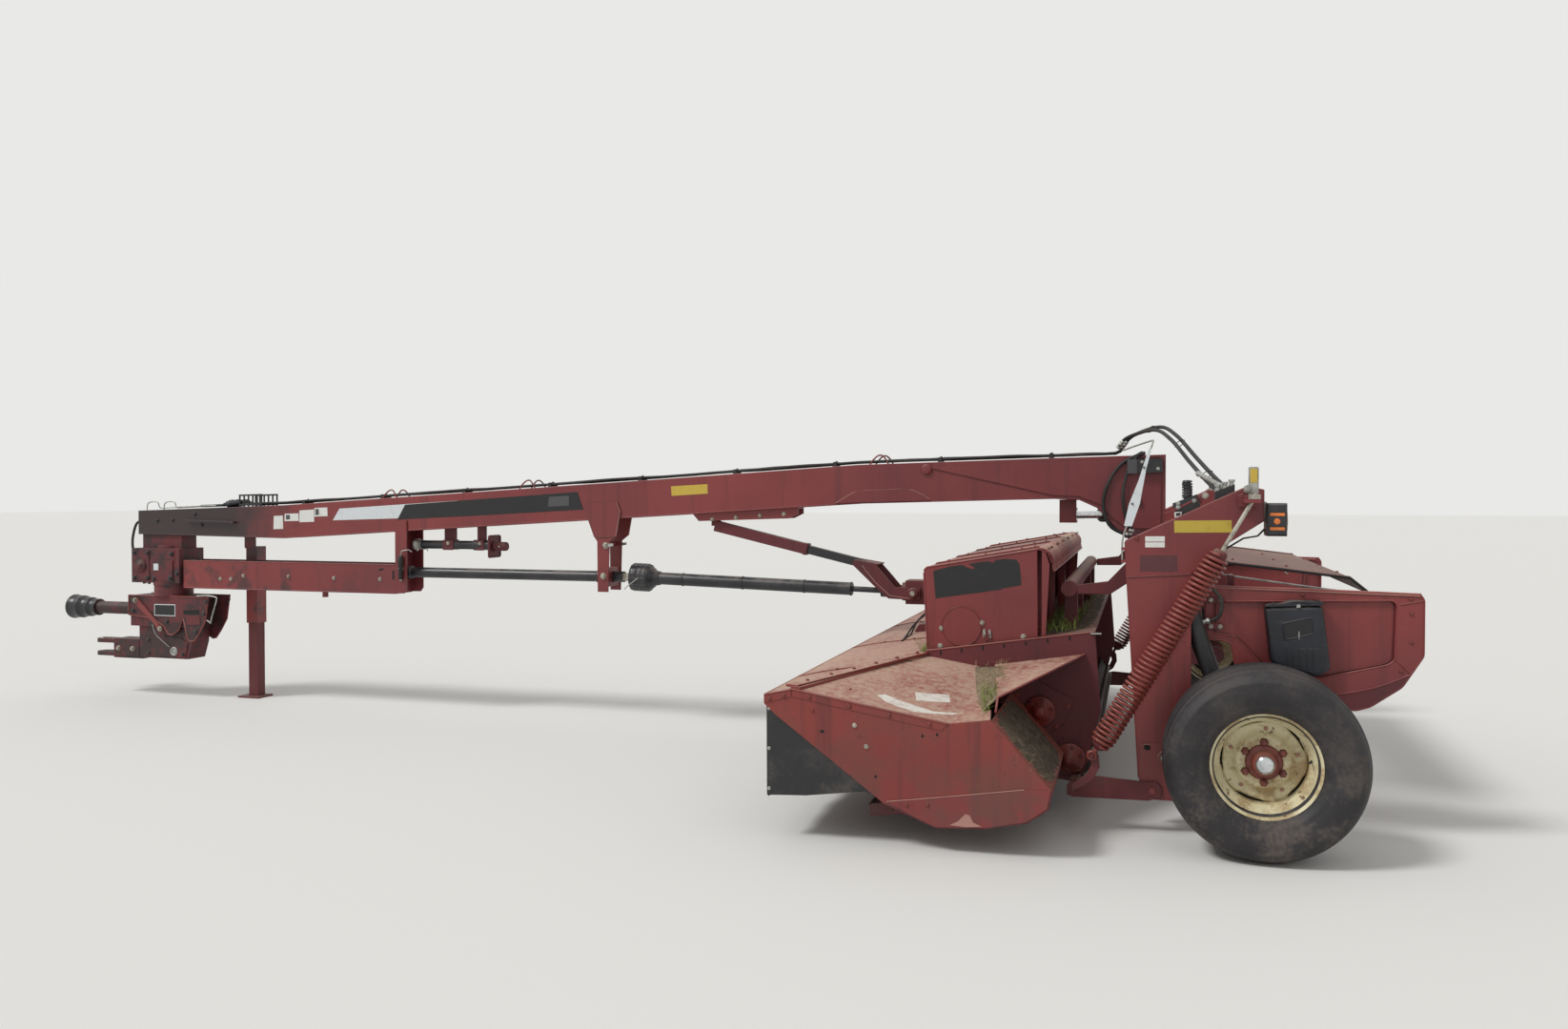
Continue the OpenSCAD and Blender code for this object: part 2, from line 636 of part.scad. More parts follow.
// A rubber roll with bars along it, on its steel axle.
module roll(centre) at_pivot() color(black) {
    translate([centre[0], 0, centre[1]]) rotate([90, 0, 0]) {
        translate([0, 0, -roll_half]) cylinder(h = 2 * roll_half, r = roll_r - rib_h, $fn = round_fn);
        translate([0, 0, -cond_half - 60]) cylinder(h = 2 * cond_half + 120, r = roll_axle_r,
            $fn = round_fn);
        for (i = [0 : rib_n - 1]) rotate([0, 0, i * 360 / rib_n])
            block([roll_r - rib_h - 6, -11, -roll_half], [roll_r, 11, roll_half]);
    }
}

module roll_upper() roll(roll_up);
module roll_lower() roll(roll_low);

// Header gearbox, its follower link and the rear drive shaft

turret_z = 800;
gearbox_r = 128;
link_pin = [-1330, 896];
link_head = [-2600, 1284];
ball_r = 26;
yoke_x = -1470;
rear_shaft_z = 900;

module gearbox_base() at_pivot() color(dark_red) {
    // Foot on the top cover, and the column up to the swivel.
    side_plate(-110, 220)
        polygon([[-1320, cover_z(-1320) + seat], [hood_front - 2, cover_z(hood_front - 2) + seat],
        [hood_front - 2, 742], [-1290, 716]]);
    translate([-gearbox_x, 0, 736]) cylinder(h = turret_z - 736, r = gearbox_r - 10, $fn = round_fn);
}

module swivel_gearbox() at_pivot() {
    color(dark_red) {
        translate([-gearbox_x, 0, turret_z + seat]) cylinder(h = 190, r = gearbox_r, $fn = round_fn);
        translate([-gearbox_x, 0, turret_z + 190]) cylinder(h = 30, r = 90, $fn = round_fn);
        block([-1380, -70, 830], [-gearbox_x, 70, 970]);
        bar([-1408, 0, rear_shaft_z], [-gearbox_x, 0, rear_shaft_z], 55);
        bar([yoke_x + ball_r + seat, 0, rear_shaft_z], [-1400, 0, rear_shaft_z], 20);
    }
    // Follower link: fork plates on the gearbox's sides, and a bar up to the tongue's guide.
    color(oxide_red) {
        both_sides() side_plate(-92, 12)
            polygon([[-1290, 860], [-1360, 858], [-1478, 862], [-1560, 930], [-1700, 1062],
            [-1690, 1082], [-1560, 1064], [-1510, 1010], [-1440, 930], [-1290, 932]]);
        cross_bar(link_pin[0], link_pin[1], 24, -100, 100);
        side_plate(-92, 184) polygon([[-1700, 1062], [-1560, 1046], [-1540, 1066], [-1690, 1090]]);
        link_tube(0, 0.62, 32);
        translate([link_head[0], 0, link_head[1]])
            cylinder(h = guide_roof(link_head[0]) - link_head[1] - 5, r = 30, $fn = round_fn);
    }
    color(black) link_tube(0.60, 1, 24);
}

// A square stretch of the follower link, from share a to share b of its length.
module link_tube(a, b, half) {
    low = [-1640, 0, 1060];
    high = [link_head[0], 0, link_head[1]];
    p = high + a * (low - high);
    q = high + b * (low - high);
    d = q - p;
    translate(p) rotate([0, acos(d[2] / norm(d)), 0]) translate([-half, -half, 0])
        cube([2 * half, 2 * half, norm(d)]);
}

// The rear shaft slopes from the tongue's joint down to the gearbox.
shaft_drop = atan((shaft_z - rear_shaft_z) / (joint_x + yoke_x));
rear_shaft_len = 1330;
inner_len = 640;

module along_rear_shaft() {
    translate([-joint_x, 0, shaft_z]) rotate([0, 90 + shaft_drop, 0]) children();
}

module rear_shaft_outer() at_pivot() color(black) along_rear_shaft() {
    difference() {
        union() {
            translate([0, 0, -35]) cylinder(h = 120, r = 84, $fn = round_fn);
            translate([0, 0, 84]) cylinder(h = 40, r1 = 70, r2 = rear_shaft_r, $fn = round_fn);
            translate([0, 0, 80]) cylinder(h = rear_shaft_len, r = rear_shaft_r, $fn = round_fn);
        }
        translate([0, 0, -36]) cylinder(h = 80, r = 76, $fn = round_fn);
        translate([0, 0, 140]) cylinder(h = rear_shaft_len, r = rear_shaft_r - 3, $fn = round_fn);
    }
    // Ball and stub of the universal joint, inside the guard's bell.
    sphere(r = ball_r, $fn = round_fn);
    cylinder(h = 60, r = 20, $fn = round_fn);
}

module rear_shaft_inner() at_pivot() color(black) {
    len = norm([joint_x + yoke_x, shaft_z - rear_shaft_z]);
    along_rear_shaft() {
        translate([0, 0, len - inner_len]) cylinder(h = inner_len, r = 17, $fn = round_fn);
        translate([0, 0, len]) sphere(r = ball_r, $fn = round_fn);
        translate([0, 0, len - 70]) cylinder(h = 50, r = 38, $fn = round_fn);
    }
}

// Tongue

// Upper edge of the beam in x and z, from the front to the rear.
beam_top = [[-beam_front, 1362], [-5790, 1405], [-2900, 1578], [-1665, 1656], [-520, 1686],
    [beam_rear, 1700]];
// Lower edge of the beam from the rear back to the front.
beam_low = [[beam_rear, seat_z], [-128, seat_z], [-150, 1262], [-215, 1329], [-283, 1404], [-383, 1450],
    [-520, 1457], [-1665, 1656 - beam_h], [-2900, 1578 - beam_h], [-5790, 1405 - beam_h],
    [-beam_front, 1193]];
// The same edges moved in by the wall, open at the front.
beam_hollow = [[-beam_front - 10, 1362 - beam_t], [-5790, 1405 - beam_t], [-2900, 1578 - beam_t],
    [-1665, 1656 - beam_t], [-520, 1686 - beam_t], [beam_rear - beam_t, 1700 - beam_t],
    [beam_rear - beam_t, seat_z + 30], [-132, seat_z + 30], [-215 + 9, 1340], [-278, 1413],
    [-383, 1450 + beam_t], [-520, 1457 + beam_t], [-1665, 1656 - beam_h + beam_t],
    [-2900, 1578 - beam_h + beam_t], [-5790, 1405 - beam_h + beam_t],
    [-beam_front - 10, 1193 + beam_t]];

under_line = [[-beam_front, 1193], [-5790, 1405 - beam_h], [-2900, 1578 - beam_h],
    [-1665, 1656 - beam_h], [-520, 1457], [-383, 1450]];

// Height of the beam's underside and of its top at x.
function under_beam(x) = lookup(x, under_line);
function over_beam(x) = lookup(x, beam_top);

module tongue_beam() at_pivot() color(oxide_red) {
    difference() {
        side_plate(-beam_w / 2, beam_w) polygon(concat(beam_top, beam_low));
        side_plate(-beam_w / 2 + beam_t, beam_w - 2 * beam_t) polygon(beam_hollow);
        translate([0, 0, seat_z - 10]) cylinder(h = 60, r = pivot_r + pin_gap, $fn = round_fn);
    }
    both_sides() {
        // Tapered side plate from a round boss back to the tower.
        side_plate(-beam_w / 2 - 8, 8)
            polygon([[-1251, 1640], [-520, 1660], [60, 1668], [60, 1290], [-120, 1290], [-200, 1350],
            [-270, 1425], [-383, 1470], [-527, 1476]]);
        cross_bar(-1251, 1628, 26, -beam_w / 2 - 12, -beam_w / 2);
        // Reinforcement plate where the beam bends.
        side_plate(-beam_w / 2 - 8, 8)
            polygon([[-1803, 1426], [-1666, 1504], [-1368, 1515], [-1231, 1452], [-1231, 1444],
            [-1665, 1432]]);
        // Ledge at the front.
        side_plate(-beam_w / 2 - 30, 31)
            polygon([[-6627, 1300], [-6200, 1290], [-6200, 1276], [-6627, 1284]]);
    }
    // Stiffening collar round the turret.
    difference() {
        translate([0, 0, seat_z]) cylinder(h = 24, r = 118, $fn = round_fn);
        translate([0, 0, seat_z - 1]) cylinder(h = 40, r = pivot_r + pin_gap, $fn = round_fn);
    }
}

post_x = -4835;
guide_x0 = -2734;
guide_x1 = -2045;
swing_lug = [-450, 110];
swing_base = [60, 800];
swing_z = 1360;
swing_r = 40;
swing_eye_r = 36;
swing_half = 22;
swing_pin_r = 18;

module tongue_brackets() at_pivot() color(oxide_red) {
    hang_y = beam_w / 2 + seat;
    both_sides() {
        // Posts that hold the trough's rear end.
        side_plate(-hang_y - 9, 9)
            polygon([[post_x - 45, 1300], [post_x + 45, 1305], [post_x + 45, 840], [post_x + 25, 812],
            [post_x - 45, 810]]);
        // Carrier of the universal joint.
        side_plate(-hang_y - 9, 9)
            polygon([[-3480, 1420], [-3240, 1432], [-3215, 1375], [-3245, 1215], [-3290, 1180],
            [-3300, 857], [-3372, 857], [-3375, 1180], [-3400, 1215], [-3462, 1375]]);
    }
    // Web of the posts, with an opening for the shaft.
    difference() {
        block([post_x - 45, -hang_y - 1, 812],
            [post_x - 37, hang_y + 1, under_beam(post_x - 45) - seat]);
        along_x(post_x - 60, 40, shaft_z, shaft_r + gap);
    }
    // Bearing block of the carrier.
    difference() {
        block([-3365, -hang_y - 1, 890], [-3305, hang_y + 1, 1010]);
        along_x(-3400, 120, shaft_z, shaft_r + seat);
    }
    cross_bar(-3335, 1160, 14, -hang_y - 12, hang_y + 12);
    // Guide under the beam that the follower link's head runs in.
    difference() {
        side_plate(-62, 124) polygon([[guide_x0, under_beam(guide_x0) - seat], [guide_x0 + 40, guide_z],
            [guide_x1 - 60, guide_z + 20], [guide_x1, under_beam(guide_x1) - 40],
            [guide_x1, under_beam(guide_x1) - seat]]);
        side_plate(-50, 100) polygon([[guide_x0 + 8, guide_roof(guide_x0)], [guide_x0 + 8, 1200],
            [guide_x1 + 100, 1200], [guide_x1 + 100, guide_roof(guide_x1 + 100)]]);
    }
    // Lug of the swing cylinder's rod, hung from the beam's side plate.
    lug_x = swing_lug[0];
    lug_out = swing_lug[1] + 48;
    for (z = [swing_z - swing_half - gap - 16, swing_z + swing_half + gap]) difference() {
        block([lug_x - 48, beam_w / 2 - 50, z], [lug_x + 48, lug_out, z + 16]);
        translate([lug_x, swing_lug[1], z - 5]) cylinder(h = 30, r = swing_pin_r, $fn = round_fn);
    }
    block([lug_x - 48, beam_w / 2 - 50, swing_z - swing_half - gap - 16],
        [lug_x + 48, beam_w / 2 - 40, under_beam(lug_x + 48) - seat]);
    // Sleeve of the parking stand beside the trough, on its arm from the beam.
    difference() {
        block([-stand_x - sleeve_half, stand_y - sleeve_half, 545],
            [-stand_x + sleeve_half, stand_y + sleeve_half, 1092]);
        block([-stand_x - stand_s / 2 - pin_gap, stand_y - stand_s / 2 - pin_gap, 500],
            [-stand_x + stand_s / 2 + pin_gap, stand_y + stand_s / 2 + pin_gap, 1200]);
    }
    block([-stand_x - sleeve_half, hang_y, 1091],
        [-stand_x + sleeve_half, stand_y + sleeve_half, 1103]);
    block([-stand_x - sleeve_half, hang_y, 1091], [-stand_x + sleeve_half, hang_y + 10, 1270]);
}

// Height of the guide's roof over the link's head at x.
function guide_roof(x) = under_beam(x) - 9;
guide_z = 1314;

// A bar along x that is cut from a web.
module along_x(x, len, z, r) {
    translate([x, 0, z]) rotate([0, 90, 0]) cylinder(h = len, r = r, $fn = round_fn);
}

sleeve_half = stand_s / 2 + 9;
trough_w = 190;
trough_x0 = -6662;
trough_x1 = post_x - 45 - seat;

module shaft_trough() at_pivot() color(oxide_red) {
    difference() {
        block([trough_x0, -trough_w / 2, 806], [trough_x1, trough_w / 2, 1008]);
        block([trough_x0 - 10, -trough_w / 2 + 8, 814], [trough_x1 + 10, trough_w / 2 - 8, 1100]);
    }
    // Peg under the trough.
    translate([-5520, 0, 762]) cylinder(h = 44, r = 20, $fn = round_fn);
}

module front_drive_line() at_pivot() color(black) {
    bar([trough_x0 + 14, 0, shaft_z], [-3230, 0, shaft_z], shaft_r);
    bar([-3230, 0, shaft_z], [-joint_x - ball_r - seat, 0, shaft_z], 20);
}

jack_z = 1141;
jack_r = 29;

module stowed_jack() at_pivot() color(dark_red) {
    bar([-4770, 0, jack_z], [-4178, 0, jack_z], jack_r);
    bar([-4180, 0, jack_z - 6], [-4172, 0, jack_z - 6], 78);
    bar([-4172, 0, jack_z - 6], [-4080, 0, jack_z - 6], 34);
    block([-4550, -14, jack_z], [-4470, 14, under_beam(-4550) - seat]);
    block([-4300, -10, jack_z], [-4240, 10, under_beam(-4300) - seat]);
    bar([-4786, 0, jack_z], [-4768, 0, jack_z], 40);
}

// Hitch

module upper_gearbox() at_pivot() color(oxide_red) {
    block([-7110, -115, 840], [-6679, 115, 1090]);
    translate([-hitch_x, 0, 821]) cylinder(h = 30, r = 135, $fn = round_fn);
    translate([-hitch_x, 0, 1088]) cylinder(h = 24, r = 105, $fn = round_fn);
    side_plate(-70, 140) polygon([[-7050, 1088], [-7050, under_beam(-7050) - seat],
        [-6700, under_beam(-6700) - seat], [-6700, 1088]]);
    bar([-6680, 0, shaft_z], [trough_x0 + 14 - seat, 0, shaft_z], 32);
}

lower_top = 821 - seat;
// From the pivot to the clevis pin, the gearbox's input face and the input shaft's inner end.
clevis_x = 7480;
input_face = 7190;
input_end = 7250;
// Cone of the input guard, behind its tip.
cone_len = 235;
cone_x = front_reach - cone_len;
yoke_len = 130;

// Outline of the lower gearbox's side plates in x and z, with a lobe at each end.
hitch_plate = [[-7150, 744], [-6432, 744], [-6462, 571], [-6515, 485], [-6560, 427], [-6590, 422],
    [-6620, 440], [-6655, 580], [-6698, 500], [-6755, 464], [-6790, 466], [-6829, 517], [-6917, 578],
    [-7150, 600]];

module lower_gearbox() at_pivot() color(oxide_red) {
    translate([-hitch_x, 0, 742]) cylinder(h = lower_top - 742, r = 130, $fn = round_fn);
    // Gearbox between its side plates, and the foot below it.
    block([-7140, -98, 520], [-6580, 98, 744]);
    both_sides() side_plate(-105, 8) polygon(hitch_plate);
    side_plate(-80, 160)
        polygon([[-7080, 522], [-6590, 522], [-6603, 405], [-6640, 288], [-7080, 288]]);
    bar([-input_face, 0, input_z], [-7140, 0, input_z], 66);
    // Guard tube and cone over the input shaft.
    difference() {
        union() {
            bar([-cone_x - 5, 0, input_z], [-input_face + 2, 0, input_z], 46);
            translate([-cone_x, 0, input_z]) rotate([0, -90, 0]) cylinder(h = cone_len, r1 = 58,
                r2 = 84, $fn = round_fn);
        }
        translate([-input_end, 0, input_z]) rotate([0, -90, 0]) cylinder(h = cone_x + 115 - input_end,
            r = 38, $fn = round_fn);
        translate([-cone_x - 10, 0, input_z]) rotate([0, -90, 0]) cylinder(h = cone_len + 65, r1 = 50,
            r2 = 80, $fn = round_fn);
    }
    // Clevis for the drawbar.
    block([-7330, -70, clevis_z - 70], [-7060, 70, clevis_z + 70]);
    difference() {
        for (z = [clevis_z - 62, clevis_z + 34]) {
            block([-clevis_x, -55, z], [-7300, 55, z + 28]);
            translate([-clevis_x, 0, z]) cylinder(h = 28, r = 55, $fn = round_fn);
        }
        translate([-clevis_x, 0, clevis_z - 100]) cylinder(h = 200, r = clevis_bore_r, $fn = round_fn);
    }
}

module input_yoke() at_pivot() color(steel) {
    difference() {
        union() {
            bar([-front_reach + yoke_len, 0, input_z], [-input_end - seat, 0, input_z], 24);
            bar([-front_reach + 6, 0, input_z], [-front_reach + yoke_len, 0, input_z], 34);
        }
        bar([-front_reach - 30, 0, input_z], [-front_reach + 86, 0, input_z], yoke_bore_r);
    }
}

module stand_leg() at_pivot() color(oxide_red) {
    difference() {
        block([-stand_x - stand_s / 2, stand_y - stand_s / 2, 10],
            [-stand_x + stand_s / 2, stand_y + stand_s / 2, stand_len]);
        block([-stand_x - stand_s / 2 + 6, stand_y - stand_s / 2 + 6, 20],
            [-stand_x + stand_s / 2 - 6, stand_y + stand_s / 2 - 6, stand_len + 10]);
    }
    block([-stand_x - 105, stand_y - 75, 0], [-stand_x + 75, stand_y + 75, 12]);
}

// Hoses along the tongue's top and down its rear end.
bundle_n = 4;
bundle_r = 9;
drop_routes = [[[-170, -104, 1690], [-90, -108, 1660], [-60, -108, 1550], [-60, -108, 1400],
    [-60, -110, 1262]], [[-170, 104, 1690], [-90, 108, 1660], [-60, 108, 1550], [-60, 108, 1400],
    [-60, 110, 1262]]];

module tongue_hoses() at_pivot() color(black) {
    for (k = [0 : bundle_n - 1]) {
        y = (k - (bundle_n - 1) / 2) * (2 * bundle_r + 2);
        route = [for (x = [-6560, -5790, -2900, -1665, -520, -200])
            [x, y, over_beam(x) + 9.5 + bundle_r]];
        hose(route, bundle_r, 1);
    }
    for (route = drop_routes) hose(route, hose_r, 3, 8, [0, 1, 0]);
    // Saddles that hold the bundle.
    for (x = [-6300, -5200, -4100, -3000, -1900, -800, -230])
        block([x - 12, -45, over_beam(x + 12) + seat], [x + 12, 45, over_beam(x) + 12]);
    // Clips that hold the hoses beside the tower.
    for (s = [-1, 1]) block([-75, s * 104 - 7, 1420], [-45, s * 104 + 7, 1450]);
    // Comb that parks the loose ends.
    side_plate(-84, 8) polygon([[-6420, over_beam(-6420) + seat], [-6100, over_beam(-6100) + seat],
        [-6100, 1440], [-6420, 1440]]);
}

// Wheels and their arms

module arm_shape() at_pivot() color(dark_red) {
    lug_top = lift_foot[1] + 38;
    difference() {
        union() {
            side_plate(-lift_y - arm_t / 2, arm_t)
                polygon([[arm_x - 40, arm_z - 45], [wheel_x, axle_z - 55], [wheel_x + 50, axle_z],
                [wheel_x, axle_z + 55], [lift_foot[0] + 30, axle_z + 60],
                [lift_foot[0] - 60, axle_z + 40], [arm_x, arm_z + 58]]);
            cross_bar(arm_x, arm_z, 56, -leg_out + leg_t + 1, -leg_in - leg_t - 1);
            cross_bar(wheel_x, axle_z, 56, -lift_y - arm_t / 2, -lift_y + arm_t / 2);
            for (s = [-1, 1]) side_plate(-lift_y + s * (lift_half + gap + 6) - 6, 12)
                polygon([[lift_foot[0] - 45, axle_z + 30], [lift_foot[0] - 35, lift_foot[1] + 20],
                [lift_foot[0], lug_top], [lift_foot[0] + 35, lift_foot[1] + 20],
                [lift_foot[0] + 45, axle_z + 30]]);
        }
        cross_bar(arm_x, arm_z, arm_pin_r + pin_gap, -leg_out, -leg_in);
        cross_bar(lift_foot[0], lift_foot[1], lift_pin_r, -lift_y - 60, -lift_y + 60);
        side_plate(-lift_y - lift_half - gap, 2 * (lift_half + gap))
            polygon([[lift_foot[0] - 80, lift_foot[1] - 50], [lift_foot[0] + 80, lift_foot[1] - 50],
            [lift_foot[0] + 80, 600], [lift_foot[0] - 80, 600]]);
    }
    cross_bar(wheel_x, axle_z, spindle_r, -wheel_y - 100, -lift_y);
    cross_bar(wheel_x, axle_z, spindle_r + 12, -wheel_y + hub_in + seat, -lift_y);
}

module wheel_arm_left() arm_shape();
module wheel_arm_right() mirror([0, 1, 0]) arm_shape();

// Moves a wheel's revolved shape, drawn round Z, to its axle with its outer face to the left.
module on_axle() {
    at_pivot() translate([wheel_x, -wheel_y, axle_z]) rotate([90, 0, 0]) children();
}

rim_half = 127;
hub_in = 90;
rim_in_r = rim_od / 2;
well_r = rim_in_r - 16;
well_half = rim_half - 9;

// Ribbed implement tyre: five ribs round the tread, as steps in its outline.
module tyre() on_axle() color(black) {
    r = tyre_od / 2;
    half = tyre_w / 2;
    groove = 9;
    ribs = [-96, -50, 0, 50, 96];
    rotate_extrude($fn = 96) difference() {
        polygon([[well_r + seat, -well_half + seat], [rim_in_r + 1, -well_half + seat],
            [rim_in_r + 5, -rim_half - 6], [rim_in_r + 60, -half + 8], [rim_in_r + 100, -half],
            [r - 80, -half + 6], [r - 34, -half + 26], [r - 12, -half + 46], [r - 3, -half + 66],
            [r, -half + 90], [r, half - 90], [r - 3, half - 66], [r - 12, half - 46],
            [r - 34, half - 26], [r - 80, half - 6], [rim_in_r + 100, half], [rim_in_r + 60, half - 8],
            [rim_in_r + 5, rim_half + 6], [rim_in_r + 1, well_half - seat],
            [well_r + seat, well_half - seat]]);
        for (y = [-73, -25, 25, 73]) translate([r - groove, y - 5]) square([20, 10]);
    }
}

module tyre_left() tyre();
module tyre_right() mirror([0, 1, 0]) tyre();

// Dished rim with a disc, a hub and a cap.
module rim() on_axle() {
    color(cream) difference() {
        rotate_extrude($fn = 96)
            polygon([[rim_in_r - 22, -rim_half], [rim_in_r, -rim_half], [rim_in_r, -well_half],
            [well_r, -well_half], [well_r, well_half], [rim_in_r, well_half], [rim_in_r, rim_half],
            [rim_in_r - 20, rim_half], [rim_in_r - 26, rim_half - 20], [rim_in_r - 46, 40],
            [rim_in_r - 60, 34], [120, 60], [60, 60], [60, 52], [118, 52], [rim_in_r - 58, 24],
            [rim_in_r - 30, 26], [rim_in_r - 24, -rim_half + 12]]);
        for (i = [0 : wheel_bolts - 1]) rotate([0, 0, i * 360 / wheel_bolts]) translate([152, 0, -200])
            cylinder(h = 400, r = 11, $fn = round_fn);
    }
    color(dark_red) difference() {
        union() {
            translate([0, 0, -hub_in]) cylinder(h = hub_in + 52, r = 61, $fn = round_fn);
            translate([0, 0, 40]) cylinder(h = 12, r = 95, $fn = round_fn);
            translate([0, 0, 50]) cylinder(h = 75, r = 46, $fn = round_fn);
        }
        translate([0, 0, -hub_in - 10]) cylinder(h = hub_in + 10 + 101, r = spindle_r + pin_gap,
            $fn = round_fn);
    }
    color(steel) for (i = [0 : wheel_bolts - 1]) rotate([0, 0, i * 360 / wheel_bolts + 30])
        translate([82, 0, 58]) cylinder(h = 22, r = 13, $fn = 6);
}

module rim_left() rim();
module rim_right() mirror([0, 1, 0]) rim();

// Lift cylinders

lift_len = norm(lift_foot - lift_top);
lift_lean = atan2(lift_foot[0] - lift_top[0], lift_top[1] - lift_foot[1]);

// Draws along the lift cylinder's axis, from its top pin down.
module along_lift() {
    at_pivot() translate([lift_top[0], -lift_y, lift_top[1]]) rotate([0, 180 - lift_lean, 0])
        children();
}

module lift_barrel() along_lift() color(black) difference() {
    union() {
        rotate([90, 0, 0]) translate([0, 0, -lift_half]) cylinder(h = 2 * lift_half, r = lift_eye_r,
            $fn = round_fn);
        translate([0, 0, 20]) cylinder(h = 370, r = lift_r, $fn = round_fn);
    }
    rotate([90, 0, 0]) translate([0, 0, -40]) cylinder(h = 80, r = lift_pin_r + pin_gap,
        $fn = round_fn);
    translate([0, 0, 60]) cylinder(h = 400, r = 22.5, $fn = round_fn);
}

module lift_rod() along_lift() color(steel) {
    translate([0, 0, 250]) cylinder(h = lift_len - 250, r = 22, $fn = round_fn);
    translate([0, 0, lift_len]) rotate([90, 0, 0]) translate([0, 0, -lift_half])
        cylinder(h = 2 * lift_half, r = 28, $fn = round_fn);
}

module lift_barrel_left() lift_barrel();
module lift_barrel_right() mirror([0, 1, 0]) lift_barrel();
module lift_rod_left() lift_rod();
module lift_rod_right() mirror([0, 1, 0]) lift_rod();

// Swing cylinder

swing_len = norm(swing_lug - swing_base);
swing_turn = atan2(swing_lug[1] - swing_base[1], swing_lug[0] - swing_base[0]);
swing_barrel_len = 560;
swing_rod_len = 560;

module along_swing() {
    at_pivot() translate([swing_base[0], swing_base[1], swing_z]) rotate([0, 0, swing_turn])
        rotate([0, 90, 0]) children();
}

module swing_barrel() along_swing() color(black) difference() {
    union() {
        rotate([0, 90, 0]) translate([0, 0, -swing_half]) cylinder(h = 2 * swing_half, r = swing_eye_r,
            $fn = round_fn);
        translate([0, 0, 24]) cylinder(h = swing_barrel_len - 24, r = swing_r, $fn = round_fn);
    }
    rotate([0, 90, 0]) translate([0, 0, -50]) cylinder(h = 100, r = swing_pin_r + pin_gap,
        $fn = round_fn);
    translate([0, 0, 60]) cylinder(h = swing_barrel_len, r = 22.5, $fn = round_fn);
}

module swing_rod() along_swing() color(steel) {
    translate([0, 0, swing_len - swing_rod_len]) cylinder(h = swing_rod_len, r = 22, $fn = round_fn);
    translate([0, 0, swing_len]) rotate([0, 90, 0]) translate([0, 0, -swing_half])
        cylinder(h = 2 * swing_half, r = swing_eye_r - 4, $fn = round_fn);
}

// Windrow shields, swath board and document box

shield_x = 204;
shield_y = 1480;
shield_pin_r = 10;
shield_outline = [[228, 1078], [rear_reach - 12, 1060], [rear_reach, 1040], [rear_reach, 804],
    [1010, 671], [888, 581], [830, 562], [640, 590], [430, 645], [366, 690], [352, 720], [333, 829],
    [307, 843], [228, 846]];
recess_d = 24;
recess_wall = [[256, 1017], [973, 1040], [992, 1020], [985, 779], [957, 757], [694, 688], [478, 716],
    [416, 786], [346, 857], [256, 866]];
shield_recess = [[262, 1012], [971, 1034], [986, 1018], [979, 782], [954, 762], [694, 694], [480, 722],
    [420, 790], [350, 862], [262, 872]];

module shield() at_pivot() color(oxide_red) {
    // Border, recessed panel and the wall between them.
    difference() {
        side_plate(-shield_y - 16, sheet_t) polygon(shield_outline);
        side_plate(-shield_y - 20, 40) polygon(shield_recess);
    }
    difference() {
        side_plate(-shield_y - 16, recess_d) polygon(recess_wall);
        side_plate(-shield_y - 20, recess_d + 4 - sheet_t) polygon(shield_recess);
    }
    // Top rail, rear lip and hinge eyes.
    block([230, -shield_y - 12, 1052], [rear_reach - 40, -shield_y + 56, 1058]);
    block([rear_reach - 10, -shield_y - 12, 806], [rear_reach - 5, -shield_y + 16, 1036]);
    for (z = [884, 1000]) difference() {
        union() {
            translate([shield_x, -shield_y, z]) cylinder(h = 38, r = 15, $fn = round_fn);
            side_plate(-shield_y - 16, 30)
                polygon([[shield_x, z], [shield_x + 45, z], [shield_x + 45, z + 38],
                [shield_x, z + 38]]);
        }
        translate([shield_x, -shield_y, z - 5]) cylinder(h = 50, r = shield_pin_r + pin_gap,
            $fn = round_fn);
    }
}

module shield_left() shield();
module shield_right() mirror([0, 1, 0]) shield();

swath_x = 300;
swath_z = 1150;
swath_half = 1090;
swath_hinge_y = 900;
swath_pin_r = 12;

module swath_board() at_pivot() color(dark_red) {
    side_plate(-swath_half, 2 * swath_half)
        polygon([[swath_x + 34, swath_z + 12], [870, 1102], [940, 1040], [934, 1036], [866, 1094],
        [swath_x + 34, swath_z + 4]]);
    for (s = [-1, 1]) {
        cross_bar(swath_x, swath_z, swath_pin_r, s * swath_hinge_y - 40, s * swath_hinge_y + 40);
        for (k = [-34, 22]) side_plate(s * swath_hinge_y + k, 12)
            polygon([[swath_x - 18, swath_z - 10], [swath_x + 60, swath_z - 14],
            [swath_x + 120, swath_z - 8], [swath_x + 60, swath_z + 10], [swath_x, swath_z + 18]]);
    }
}

box_back = shield_y + 16 + sheet_t - recess_d + seat;
box_front = shield_y + 84;
box_outline = [[464, 997], [693, 1010], [726, 740], [667, 706], [491, 756]];

module document_box() at_pivot() color(black) difference() {
    side_plate(-box_front, box_front - box_back) polygon(box_outline);
    side_plate(-box_front + 4, box_front - box_back - 8)
        polygon([[472, 1020], [686, 1020], [717, 745], [665, 714], [497, 760]]);
}

lid_z = 997 + seat;

module document_lid() at_pivot() color(black) side_plate(-box_front - 4,
    box_front + 4 - shield_y - 16 - seat) polygon([[460, lid_z], [697, lid_z + 13], [693, lid_z + 30],
    [581, lid_z + 32], [464, lid_z + 14]]);

